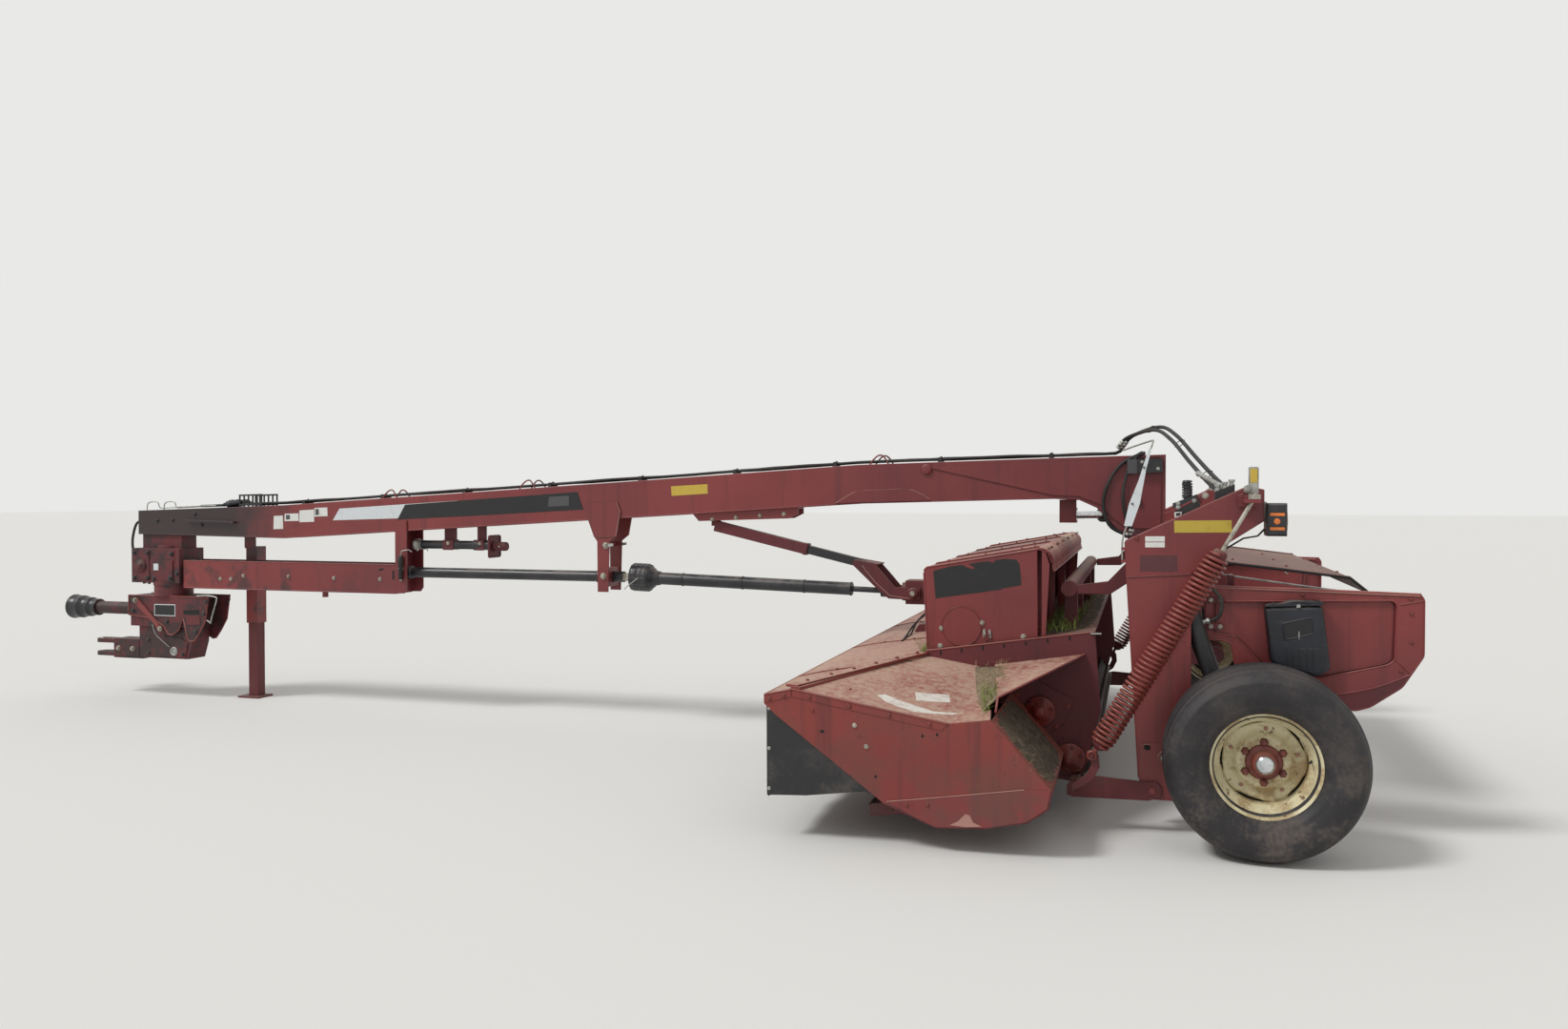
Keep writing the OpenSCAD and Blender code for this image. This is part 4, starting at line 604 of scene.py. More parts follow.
def makeWheel(side, word):
    w = wheelSizes
    axis = Vector((0, side, 0))
    turn = axis.to_track_quat("Z", "Y")
    place = at(w["x"], side * w["y"], w["radius"])
    tyre = Shape(f"tyre{word}Rubber", tyreRubber)
    tyre.lathe(tyreProfile(w), place, axis, 144, True, False)
    tyre.finish(f"wheel_{word.lower()}", "tyre_rubber", 0, [f"tyre_{word.lower()}"])
    rim = Shape(f"rim{word}Dish", rimPaint)
    rim.lathe(rimProfile(w), place, axis, 120, True, False)
    scallopedDisc(rim, place, axis, w)
    # Dark ring behind the disc's scallops: painted shade where the back of the wheel would show through.
    rim.use(holeShade).lathe([(148, -15), (169, -15), (169, -11), (148, -11), (148, -15)], place, axis, 72, False, False)
    rim.use(springRed)
    rim.lathe([(62, -88), (62, 24), (72, 26), (72, 36), (66, 40), (56, 42), (50, 46), (47, 88), (44, 92)], place, axis,
        48)
    for i in range(w["studs"]):
        a = 2 * math.pi * (i + 0.5) / w["studs"]
        spot = place + turn @ Vector((math.cos(a), math.sin(a), 0)) * w["studCircle"] / 1000
        rim.use(springRed).lathe([(17, 28), (17, 32), (14.4, 32), (14.4, 46), (12, 50)], spot, axis, 6, False)
        rim.use(springRed).lathe([(7.5, 44), (7.5, 58), (6.5, 60)], spot, axis, 12)
    for i in range(w["lobes"]):  # rivets round the dish
        a = 2 * math.pi * (i + 0.2) / w["lobes"]
        spot = place + turn @ Vector((0.133 * math.cos(a), 0.133 * math.sin(a), 0.003))
        rim.use(worn).lathe([(8, 0), (8, 3), (5, 7), (1, 8)], spot, axis, 12)
    rim.use(chrome)
    rim.lathe([(38, 88), (38, 94), (35, 97), (31, 101), (22, 106), (10, 108.5), (0.5, 109)], place, axis, 36)
    valve = turn @ Vector((0.176, 0.02, 0))
    rim.use(hoseRubber).sweep([place + valve + axis * 0.050, place + valve * 0.93 + axis * 0.085], 5, 10)
    for k in (0.2, 1.7, 3.3, 4.9):  # welds between the disc and the rim
        arc = [place + turn @ Vector((167 * math.cos(k + s * 0.05), 167 * math.sin(k + s * 0.05), 2)) / 1000
               for s in range(9)]
        rim.use(rimPaint).sweep(arc, 3.4, 6)
    rim.finish(f"wheel_{word.lower()}", "cream", 0, [f"rim_{word.lower()}"])


for side, word in ((left, "Left"), (right, "Right")):
    makeWheel(side, word)
print("wheels made")


# Flotation springs

springSizes = {"y": 1722, "top": (272, 1224), "low": (-208, 399), "eye": (-240, 352),
               "radius": 45.5, "wire": 7.6, "turns": 44, "stepsPerTurn": 26}


def makeSprings():
    s = springSizes
    shape = Shape("floatCoils", springRed)
    for side in (left, right):
        top = at(s["top"][0], side * s["y"], s["top"][1])
        low = at(s["low"][0], side * s["y"], s["low"][1])
        along = (low - top).normalized()
        out = Vector((0, side, 0))
        other = along.cross(out)
        steps = s["turns"] * s["stepsPerTurn"]
        path = []
        for i in range(steps + 1):
            share = i / steps
            turn = 2 * math.pi * s["turns"] * share
            ends = min(1, share * s["turns"] / 1.6,
                (1 - share) * s["turns"] / 1.6)  # the coil draws in over its end turns
            r = s["radius"] * (0.72 + 0.28 * ends) / 1000
            path.append(top.lerp(low, share) + r * (math.cos(turn) * out + math.sin(turn) * other))
        shape.use(springRed).sweep(path, s["wire"], 8)
        shape.use(shadeRed)
        length = (low - top).length * 1000
        shape.lathe([(16, -24), (26, -20), (31, -8), (31, 26), (26, 34), (14, 38)], top, along, 24)
        shape.lathe([(14, length - 38), (26, length - 34), (31, length - 26), (31, length + 4), (22, length + 14),
                     (12, length + 20)], top, along, 24)
        eye = at(s["eye"][0], side * s["y"], s["eye"][1])
        shape.use(springRed).sweep([low - along * 0.01, eye - along * 0.022], 10, 12)
        loop = [eye + 0.0165 * (math.cos(a) * along + math.sin(a) * other) for a in (k * math.pi / 8 for k in range(17))]
        shape.sweep(loop, 6.5, 10)
    shape.finish("frame", "spring_red", 0, ["float_springs"])


makeSprings()
print("springs made")


# Hoses

hoseSizes = {"arch": 10, "bundle": 8.6, "drop": 9.5, "clampPitch": 640}
beamTop = [(-7071, 1362), (-5790, 1405), (-2900, 1578), (-1665, 1656), (-520, 1686), (85, 1700)]
beamLow = [(-7071, 1193), (-5790, 1176), (-2900, 1349), (-1665, 1427), (-520, 1457), (-383, 1450)]
archRoutes = [[(-170, -20, 1745), (-120, -40, 1800), (20, -160, 1835), (100, -480, 1770), (180, -900, 1640),
               (240, -1250, 1545), (288, -1478, 1484)],
              [(-150, 20, 1745), (-90, -10, 1812), (50, -130, 1852), (130, -450, 1790), (215, -900, 1655),
               (275, -1250, 1560), (322, -1478, 1498)]]


def hoseEnd(shape, path, radius):  # a crimped ferrule and its swivel nut on the end of a hose
    ahead = (path[-1] - path[-3]).normalized()
    end = path[-1]
    shape.use(galvanised)
    shape.lathe([(radius + 1, -46), (radius + 3, -44), (radius + 3, -30), (radius + 2, -29), (radius + 3, -28),
                 (radius + 3, -14), (radius - 2, -12), (radius - 2, -8)], end, ahead, 16)
    shape.lathe([(radius + 4, -9), (radius + 4, 4), (radius + 1, 6)], end, ahead, 6, False)
    shape.use(hoseRubber)


def makeArchHoses():
    shape = Shape("archHoses", hoseRubber)
    for route in archRoutes:
        path = curveThrough([at(*p) for p in route], 9)
        shape.sweep(path, hoseSizes["arch"], 14)
        hoseEnd(shape, path, hoseSizes["arch"])
        hoseEnd(shape, path[::-1], hoseSizes["arch"])
    for k in (16, 30, 43):  # ties that hold the pair together
        a = curveThrough([at(*p) for p in archRoutes[0]], 9)[k]
        b = curveThrough([at(*p) for p in archRoutes[1]], 9)[k]
        across = (b - a).normalized() * 0.012
        loop = [(a + b) / 2 + (b - a) * 0.5 * math.cos(t) * 1.5 + Vector((0, 0, 0.014)) * math.sin(t)
                for t in (k * math.pi / 10 for k in range(21))]
        shape.use(blankBlack).sweep([p + across * 0.02 for p in loop], 2, 6)
        shape.use(hoseRubber)
    shape.finish("frame", "hose_rubber", 0, ["frame_hoses"])


def makeTongueHoses():
    shape = Shape("tongueHoses", hoseRubber)
    r = hoseSizes["bundle"]
    rng = random.Random(7)
    for k in range(4):
        y = (k - 1.5) * 20
        route = []
        x = -6560
        while x < -200:
            slack = 4.5 * math.sin(x / 190 + k) + rng.uniform(-1.5, 1.5)
            route.append(at(x, y + rng.uniform(-2, 2), lineAt(beamTop, x) + r + 10 + max(0, slack)))
            x += 106
        route.append(at(-185, y, lineAt(beamTop, -185) + r + 12))
        route.append(at(-150, y * 0.6, lineAt(beamTop, -150) + r + 34))
        shape.sweep(curveThrough(route, 2), r, 10)
    shape.use(greyBlack)
    x = -6300
    while x < -200:  # saddle clamps
        z = lineAt(beamTop, x)
        shape.block((x - 13, -48, z + 0.5), (x + 13, 48, z + 7))
        shape.plate([(x - 11, z + 7), (x - 9, z + 31), (x + 9, z + 31.5), (x + 11, z + 7)], -46, 46)
        shape.bolt((x, 0, z + 31), (0, 0, 1), 11)
        x += hoseSizes["clampPitch"]
    drops = [[(-30, side * 60, 1712), (-62, side * 104, 1700), (-150, side * 112, 1650), (-222, side * 113, 1545),
              (-248, side * 113, 1420), (-215, side * 112, 1310), (-140, side * 108, 1262), (-96, side * 106, 1258)]
             for side in (left, right)]
    drops += [[(-42, side * 60, 1714), (-70, side * 108, 1690), (-118, side * 118, 1600), (-142, side * 120, 1480),
               (-128, side * 118, 1360), (-98, side * 112, 1286), (-66, side * 108, 1268)] for side in (left, right)]
    for route in drops:
        path = curveThrough([at(*p) for p in route], 6)
        shape.use(hoseRubber).sweep(path, hoseSizes["drop"], 12)
        hoseEnd(shape, path, hoseSizes["drop"])
    shape.use(hitchRed)
    for side in (left, right):  # block with the ports that these hoses end in
        shape.block((-92, side * 90, 1246), (-40, side * 122, 1282))
        shape.block((-75, side * 97, 1420), (-45, side * 111, 1450))
    # Comb with five slots that parks the loose ends, and the couplers that lie in front of it.
    for side in (left, right):
        y = side * 78
        for z in (1400, 1469):
            shape.use(greyBlack).plate([(-6180, z), (-5985, z + 5), (-5985, z + 17), (-6180, z + 12)], y - 5, y + 5)
        for i in range(6):
            x = -6180 + i * 37.2
            shape.plate([(x, 1390), (x + 9, 1390), (x + 9, 1480), (x, 1480)], y - 4, y + 4)
        for i in range(3):
            body = [(9, 0), (9, 14), (15, 18), (15, 70), (19, 74), (19, 104), (14, 108), (14, 130), (8, 132)]
            shape.use(boxPlastic).lathe(body, at(-6196, side * (62 - 26 * i), 1424 + 12 * (i % 2)), (-1, 0, -0.12), 18)
        loop = curveThrough([at(-7002, y, 1368), at(-6996, y, 1412), at(-6960, y, 1428), at(-6905, y, 1424),
            at(-6886, y, 1388),
                             at(-6840, y, 1384), at(-6600, y, 1396), at(-6380, y, 1402)], 5)
        shape.use(galvanised).sweep(loop, 4, 8)
    shape.finish("tongue", "hose_rubber", 0, ["tongue_hoses"])


makeArchHoses()
makeTongueHoses()
print("hoses made")


# Small parts that many places need


def boltRow(shape, spots, axis, across=15, finish=boltSteel, washer=True):
    shape.use(finish)
    for spot in spots:
        shape.bolt(spot, axis, across, washer)


# Points spaced evenly from one place to another.
def spaced(start, end, count):
    return [tuple(start[i] + (end[i] - start[i]) * k / (count - 1) for i in range(3)) for k in range(count)]


# A thin sheet glued on a side plate at y, on its outer side.
def decal(shape, finish, outline, y, side, depth=0.8):
    shape.use(finish).plate(outline, side * y, side * (y + depth))


# A rounded strip of sheet or rod laid from place to place.
def bead(shape, finish, places, radius, sides=8):
    shape.use(finish).sweep([at(*p) for p in places], radius, sides)


# The lowest point of a plane through three places, at x and y.
def heightOn(corners, x, y):
    a, b, c = (Vector(p) for p in corners)
    n = (b - a).cross(c - a)
    return a.z - (n.x * (x - a.x) + n.y * (y - a.y)) / n.z


# A heap of loose dirt between four corners, thicker towards its middle and ragged at its edge.
def heap(shape, finish, corners, height, steps=(26, 14), seed=0, sink=2.0, up=(0, 0, 1)):
    shape.use(finish)
    lift = Vector(up)
    a, b, c, d = (Vector(p) for p in corners)
    rows = []
    for i in range(steps[0] + 1):
        u = i / steps[0]
        row = []
        for j in range(steps[1] + 1):
            v = j / steps[1]
            spot = a.lerp(b, u).lerp(d.lerp(c, u), v)
            rim = min(1, 3.2 * min(u, 1 - u)) * min(1, 3.2 * min(v, 1 - v))
            rough = 0.55 + 0.75 * noise.fractal((spot + Vector((seed, seed, 0))) * 0.022, 1.0, 2.0, 5)
            spot += lift * (height * rim * max(0.05, rough) - sink * (1 - rim))
            row.append(at(*spot))
        rows.append(row)
    points = [p for row in rows for p in row]
    n = steps[1] + 1
    faces = [[i * n + j, (i + 1) * n + j, (i + 1) * n + j + 1, i * n + j + 1]
             for i in range(steps[0]) for j in range(steps[1])]
    first = faces[len(faces) // 2]
    facing = (points[first[1]] - points[first[0]]).cross(points[first[2]] - points[first[0]]).dot(lift)
    if facing < 0:
        faces = [face[::-1] for face in faces]
    base = [p - lift * 0.004 for p in points]
    count = len(points)
    under = [[count + i for i in face[::-1]] for face in faces]
    rim = [i * n for i in range(steps[0] + 1)] + [steps[0] * n + j for j in range(1, n)]
    rim += [i * n + n - 1 for i in range(steps[0] - 1, -1, -1)] + list(range(n - 2, 0, -1))
    turn = 1 if facing > 0 else -1
    ring = rim[::turn]
    walls = [[ring[k], count + ring[k], count + ring[(k + 1) % len(ring)], ring[(k + 1) % len(ring)]]
             for k in range(len(ring))]
    return shape.add(points + base, faces + under + walls)


# Thin blades that stand or lie in a patch: grass, straw and chaff.
def tufts(shape, finish, places, length, lean, rng, width=3.0):
    shape.use(finish)
    for place in places:
        root = at(*place)
        heading = rng.uniform(0, 2 * math.pi)
        out = Vector((math.cos(heading), math.sin(heading), 0))
        tall = length * rng.uniform(0.5, 1.25) / 1000
        bend = lean * rng.uniform(0.4, 1.3)
        side = Vector((-out.y, out.x, 0)) * width * rng.uniform(0.6, 1.2) / 2000
        rings = []
        for s, thick in ((0, 1.0), (0.4, 0.85), (0.75, 0.55), (1.0, 0.08)):
            middle = root + out * bend * tall * s * s + Vector((0, 0, tall * (s - 0.35 * bend * s * s)))
            edge = side * thick
            rings.append([middle + edge, middle + out * 0.0006, middle - edge, middle - out * 0.0006])
        shape.skin(rings)


def scattered(corners, count, rng, lift=0.0):
    a, b, c, d = (Vector(p) for p in corners)
    places = []
    for i in range(count):
        u, v = rng.random(), rng.random()
        spot = a.lerp(b, u).lerp(d.lerp(c, u), v)
        places.append((spot.x, spot.y, spot.z + lift))
    return places


# Header: top cover, end panels, curtain

headerSizes = {"half": 2150, "panelSkin": 3.2, "boltAcross": 13, "strawBits": 420}
coverOuter = (-1461, 2144.7, 650)
coverInner = (-1030.3, 1355.3, 707)
coverHigh = (-703, 1355.3, 653)
coverLow = (-789, 2144.7, 538)


# Height of the cover's corner facets at x and y.
def cornerHeight(x, y):
    y = abs(y)
    across = (coverHigh[0] - coverOuter[0]) * (y - coverOuter[1]) - (coverHigh[1] - coverOuter[1]) * (x - coverOuter[0])
    first = across < 0
    return heightOn((coverOuter, coverInner, coverHigh) if first else (coverOuter, coverHigh, coverLow), x, y)


def layOn(shape, finish, outline, side, lift=0.6):
    shape.use(finish)
    shape.prism([at(x, side * y, cornerHeight(x, y) + lift) for x, y in outline], Vector((0, 0, -0.0016)))


def makeHeaderTrim():
    h = headerSizes
    shape = Shape("headerTrim", endRed)
    rng = random.Random(3)
    for side in (left, right):
        y = side * h["half"]
        skinY = side * (h["half"] + h["panelSkin"])
        out = (0, side, 0)
        shape.use(endRed)
        shape.plate([(-1587, 621), (-1466, 649), (-1466, 616), (-1587, 583)], y, skinY)
        shape.plate([(-1461, 648), (-795, 537), (-822, 508), (-1461, 616)], y, skinY)
        bead(shape, endRed, [(-1586, skinY, 620), (-1461, skinY, 648), (-795, skinY, 537)], 3.4)
        boltRow(shape, [(-1562, skinY, 603), (-1497, skinY, 619), (-1385, skinY, 618), (-1210, skinY, 589),
                        (-1040, skinY, 561), (-870, skinY, 532)], out, h["boltAcross"], springRed)
        boltRow(shape, [(-1188, y, 509), (-1137, y, 423)], out, h["boltAcross"])
        boltRow(shape, [(-1371, y, 562), (-964, skinY, 190), (-878, skinY, 196)], out, 11, springRed)
        # Holes in the panel, drawn as thin dark sheets that paint the shade inside them.
        shape.use(holeShade)
        for x, z, turn in ((-1329, 475, 0.78), (-900, 481, 0.1), (-839, 490, 0.1), (-1097, 299, 0.4), (-715, 232, 0.1),
                           (-560, 245, 0.2)):
            wide = 9 if turn > 0.5 else 5
            ring = [(x + math.cos(turn + a) * wide * 1.3, z + math.sin(turn + a) * 9) for a in
                    (0, math.pi / 2, math.pi, 1.5 * math.pi)]
            shape.plate(ring, y, side * (h["half"] + 0.5))
        # Wear skid lapped over the panel's lower edge, with a pale bead along its upper edge that paints the highlight
        # there.
        seam = [(-1050, 199), (-930, 217), (-733, 248), (-600, 270), (-485, 289), (-381, 290)]
        shape.use(machineRed).plate(seam + [(-395, 217), (-477, 158), (-641, 121), (-844, 108), (-940, 146)], y, skinY)
        bead(shape, worn, [(x, skinY, z) for x, z in seam[:5]], 2.0, 6)
        decal(shape, worn, [(-786, 122), (-752, 140), (-722, 172), (-704, 168), (-690, 140), (-655, 126), (-720, 119)],
              h["half"] + h["panelSkin"], side, 0.5)
        bead(shape, shadeRed, [(-1055, side * 2146, 190), (-844, side * 2146, 107), (-640, side * 2146, 120),
                               (-475, side * 2146, 157), (-392, side * 2146, 217), (-379, side * 2146, 289)], 6)
        # Flange that is bolted along the cover's corner.
        edge = [(-1462, 2139, 651), (-1030, 1357, 709)]
        shape.use(deckRed)
        shape.prism([at(edge[0][0] - 30, side * edge[0][1], edge[0][2] + 6),
            at(edge[0][0] + 22, side * edge[0][1], edge[0][2] + 2),
                     at(edge[1][0] + 16, side * edge[1][1], edge[1][2] + 2),
                     at(edge[1][0] - 44, side * edge[1][1], edge[1][2] + 4)],
                    Vector((0, 0, 0.011)))
        bead(shape, springRed, [(edge[0][0] + 22, side * edge[0][1], edge[0][2] + 12),
                                (edge[1][0] + 16, side * edge[1][1], edge[1][2] + 12)], 3.5)
        boltRow(shape, [(x - 10, side * y, z + 14) for x, y, z in spaced((-1412, 2048, 657), (-1052, 1397, 707), 6)],
                (0, 0, 1), h["boltAcross"], springRed)
        boltRow(shape, [(-1240, side * 2010, cornerHeight(-1240, 2010))], (0, 0, 1), 9, springRed, False)
        # Two torn stickers on the corner.
        layOn(shape, tornWhite, [(-1123, 2009), (-1094, 1976), (-1031, 2008), (-946, 2032), (-870, 2052), (-767, 2006),
                                 (-790, 2040), (-869, 2079), (-943, 2102), (-1017, 2085), (-1076, 2058)], side)
        layOn(shape, tornWhite, [(-982, 1874), (-909, 1848), (-842, 1814), (-823, 1906), (-901, 1944), (-960, 1969)],
            side)
        # Folded edges of the corner and of the rear wing.
        bead(shape, endRed, [(-1461, side * 2144, 649), (-789, side * 2144, 537)], 3)
        bead(shape, deckRed, [(-790, side * 2144, 537), (-622, side * 2144, 561)], 3)
        bead(shape, machineRed, [(-612, side * 2058, 577), (-604, side * 2050, 639), (-287, side * 1357, 741)], 5)
        # Dirt, chaff and grass in the fold beside the wing, and down the panel's rear edge.
        valley = [(-790, side * 1372, 667), (-600, side * 1440, 686), (-606, side * 2030, 640),
            (-690, side * 2010, 556)]
        heap(shape, soilDry, valley, 17, (30, 16), 3 + side)
        tufts(shape, straw, scattered(valley, 90, rng, 9), 46, 1.5, rng, 3.0)
        lower = [(-700, side * 1800, 596), (-640, side * 1800, 622), (-630, side * 2100, 592), (-665, side * 2100, 548)]
        tufts(shape, grassGreen, scattered(lower, 60, rng, 3), 85, 0.8, rng, 3.4)
        heap(shape, soilDark, [(-640, side * 2020, 552), (-560, side * 2020, 470), (-405, side * 2030, 290),
                               (-470, side * 2130, 330)], 16, (34, 10), 9 + side)
        wall = [(-617, side * 2130, 560), (-377, side * 2130, 289), (-377, side * 1460, 289), (-617, side * 1460, 560)]
        heap(shape, soilDark, wall, 22, (26, 44), 17 + side, 1.0, (0.75, 0, 0.66))
        edgeLine = [(-640, side * 2146, 548), (-560, side * 2146, 470), (-470, side * 2146, 385),
            (-385, side * 2146, 285)]
        for start, end in zip(edgeLine, edgeLine[1:]):
            tufts(shape, straw, scattered([start, end, (end[0] - 8, end[1] - side * 60, end[2] - 4),
                                           (start[0] - 8, start[1] - side * 60, start[2] - 4)], 46, rng, 0), 38, 1.7,
                                           rng, 2.6)
    # Seams between the sheets of the deck.
    for y in (-1640, -560, 560, 1640):
        line = [(-1583, y, 624), (-1461, y, 652), (-1032, y * 0.90, 710)]
        bead(shape, springRed, line, 2.6, 6)
        boltRow(shape, [(line[1][0] + 60, y * 0.985, 660), (-1240, y * 0.95, 682), (-1100, y * 0.92, 700)], (0, 0, 1),
            10,
                springRed, False)
    bead(shape, deckRed, [(-1583, -2142, 621), (-1583, 2142, 621)], 4)
    for side in (left, right):  # chaff blown along the hood's foot
        foot = [(-1110, side * 260, 700), (-1036, side * 260, 712), (-1036, side * 1300, 712),
            (-1075, side * 1300, 706)]
        heap(shape, soilDry, foot, 9, (40, 8), 21 + side, 1.5)
        tufts(shape, straw, scattered(foot, h["strawBits"] // 3, rng, 4), 30, 1.8, rng, 2.4)
        tufts(shape, grassGreen, scattered([(-1060, side * 1250, 706), (-1036, side * 1250, 709),
            (-1036, side * 1350, 709),
                                            (-1060, side * 1350, 706)], 26, rng, 0), 80, 0.7, rng, 3)
    shape.finish("frame", "oxide_red")


# The rubber curtain hangs in soft waves from under the deck's front edge.
def makeCurtain():
    shape = Shape("curtainSheet", curtainRubber)
    steps = 200
    rows = 12
    front, back = [], []
    for i in range(steps + 1):
        y = -2143 + 4286 * i / steps
        ring, inner = [], []
        for j in range(rows + 1):
            down = j / rows
            sway = 9 * down * math.sin(y / 118) + 5 * down * down * math.sin(y / 41 + 1) + 6 * down
            low = 187 + 5 * math.sin(y / 260)
            z = 611 + (low - 611) * down
            ring.append(at(-1579.5 + sway, y, z))
            inner.append(at(-1573.5 + sway, y, z))
        front.append(ring)
        back.append(inner)
    loops = [a + b[::-1] for a, b in zip(front, back)]
    shape.skin(loops[::-1])
    for side in (left, right):  # flap at the end, behind the end panel's front corner
        outline = [(-1578, 578), (-1576, 186), (-1400, 196), (-1143, 232), (-1085, 214), (-1290, 366), (-1530, 545)]
        shape.plate(outline, side * 2138.5, side * 2144)
        shape.use(galvanised)
        for spot in spaced((-1566, side * 2144, 560), (-1566, side * 2144, 215), 3):
            shape.bolt(spot, (0, side, 0), 10)
        shape.use(curtainRubber)
    shape.use(shadeRed)
    shape.block((-1586.5, -2144, 580), (-1580.5, 2144, 606))
    boltRow(shape, spaced((-1586, -2080, 594), (-1586, 2080, 594), 15), (-1, 0, 0), 12)
    shape.finish("frame", "curtain_rubber", 0, ["curtain"])


# Hood over the rolls

hoodSizes = {"half": 1300, "ribs": (-1080, -400, 400, 1080), "cover": (-865, 847), "coverRadius": 93, "bladeCount": 260}


def hoodHeight(x):
    return 1129 + (x + 1034) * 0.1779


def makeHoodTrim():
    h = hoodSizes
    shape = Shape("hoodTrim", machineRed)
    rng = random.Random(11)
    for side in (left, right):
        y = side * h["half"]
        out = (0, side, 0)
        # Blank dark sticker with a ragged upper edge, and the round cover's rim.
        decal(shape, blankBlack, [(-1003, 1108), (-990, 1113), (-962, 1122), (-910, 1135), (-862, 1141), (-840, 1130),
                                  (-816, 1122), (-800, 1128), (-832, 1146), (-770, 1158), (-732, 1160), (-718, 1153),
                                  (-700, 1168), (-652, 1174), (-606, 1170), (-592, 1150), (-585, 1092), (-583, 1050),
                                  (-668, 1033), (-680, 1026), (-722, 1020), (-790, 1008), (-900, 992), (-991, 977)],
              h["half"], side, 0.9)
        x, z = h["cover"]
        ring = [at(x + h["coverRadius"] * math.cos(a), side * (h["half"] + 4), z + h["coverRadius"] * math.sin(a))
                for a in (2 * math.pi * k / 60 for k in range(61))]
        shape.use(springRed).sweep(ring, 2.2, 6)
        boltRow(shape, [(-961, y, 833), (-769, y, 866), (-968, y, 747), (-573, y, 806)], out, 17)
        # Worn latch.
        shape.use(galvanised)
        shape.plate([(-762, 832), (-752, 838), (-748, 800), (-762, 798)], y, side * 1308)
        shape.plate([(-735, 832), (-727, 834), (-722, 796), (-735, 794)], y, side * 1308)
        shape.use(springRed)
        shape.plate([(-770, 798), (-722, 800), (-722, 764), (-768, 762)], y, side * 1306)
        shape.plate([(-768, 764), (-752, 764), (-752, 746), (-768, 746)], y, side * 1309)
        shape.plate([(-736, 766), (-722, 766), (-722, 748), (-736, 748)], y, side * 1309)
        bead(shape, springRed, [(-757, side * 1310, 812), (-745, side * 1314, 776), (-730, side * 1310, 812)], 3.5)
        # Rounded upper edges, and the fold at the rear.
        bead(shape, machineRed, [(-1046, side * 1299, 1114), (-1034, side * 1299, 1127), (-512, side * 1299, 1220)],
            4.5)
        bead(shape, machineRed, [(-1048, side * 1299, 1100), (-1030, side * 1299, 733)], 4.5)
        bead(shape, machineRed, [(-513, side * 1299, 1218), (-509, side * 1299, 810)], 4.5)
        shape.use(deckRed).block((-1026, side * 1290, 727), (-512, side * 1312, 731))
    # Ribs bolted across the top, and the lip over its rear edge.
    shape.use(deckRed)
    for y in h["ribs"]:
        outline = [(-1028, hoodHeight(-1028) + 1), (-1020, hoodHeight(-1020) + 8), (-520, hoodHeight(-520) + 8),
                   (-508, hoodHeight(-508) + 1)]
        shape.plate(outline, y - 24, y + 24)
        boltRow(shape, [(x, y + off, hoodHeight(x) + 7) for x, off in ((-960, -12), (-780, 12), (-600, -12),
            (-540, 12))],
                (0, 0, 1), 10, shadeRed, False)
        shape.use(deckRed)
    profile = []
    for k in range(11):
        a = math.radians(100 - 11.5 * k)
        profile.append((-497 + 62 * math.cos(a), 1165 + 62 * math.sin(a)))
    lip = profile + [(-431, 1118)]
    inner = [(x - 5 if i < 11 else x - 4, z - 4) for i, (x, z) in enumerate(lip)][::-1]
    for a, b in ((-1292, -1084), (-1076, -664), (-656, -244), (-236, 236), (244, 656), (664, 1076), (1084, 1292)):
        shape.use(deckRed).plate(lip + inner, a, b)
        bead(shape, springRed, [(lip[-1][0], a, lip[-1][1]), (lip[-1][0], b, lip[-1][1])], 3)
        boltRow(shape, [(-497 + 65 * 0.55, a + 30, 1165 + 65 * 0.84), (-497 + 65 * 0.55, b - 30, 1165 + 65 * 0.84)],
                (0.55, 0, 0.84), 12, shadeRed, False)
    # Rear uprights, and the bolts on them.
    shape.use(machineRed)
    for y in (-1300, -880, -60, 800, 1240):
        shape.plate([(-488, 792), (-470, 796), (-452, 1150), (-470, 1206), (-488, 1212)], y, y + 5)
    for y in (-1180, -480, 420, 1120):
        boltRow(shape, [(-489, y + 30, 1180), (-489, y + 30, 830)], (1, 0, 0), 15)
    # Grass and dirt that grew on the deck behind the hood.
    behind = [(-500, -1280, 809), (-250, -1280, 846), (-250, 1280, 846), (-500, 1280, 809)]
    heap(shape, soilDark, behind, 13, (18, 90), 5)
    tufts(shape, grassGreen, scattered([(-500, -1290, 812), (-330, -1290, 838), (-330, -300, 838), (-500, -300, 812)],
                                       h["bladeCount"], rng, 4), 78, 0.8, rng, 3.6)
    tufts(shape, grassGreen, scattered([(-480, 300, 815), (-330, 300, 838), (-330, 1280, 838), (-480, 1280, 815)],
                                       h["bladeCount"] // 2, rng, 4), 60, 0.8, rng, 3.4)
    tufts(shape, straw, scattered(behind, h["bladeCount"], rng, 8), 34, 1.8, rng, 2.4)
    shape.finish("frame", "oxide_red")


# Sides of the conditioner with their slots, bearings and roll covers

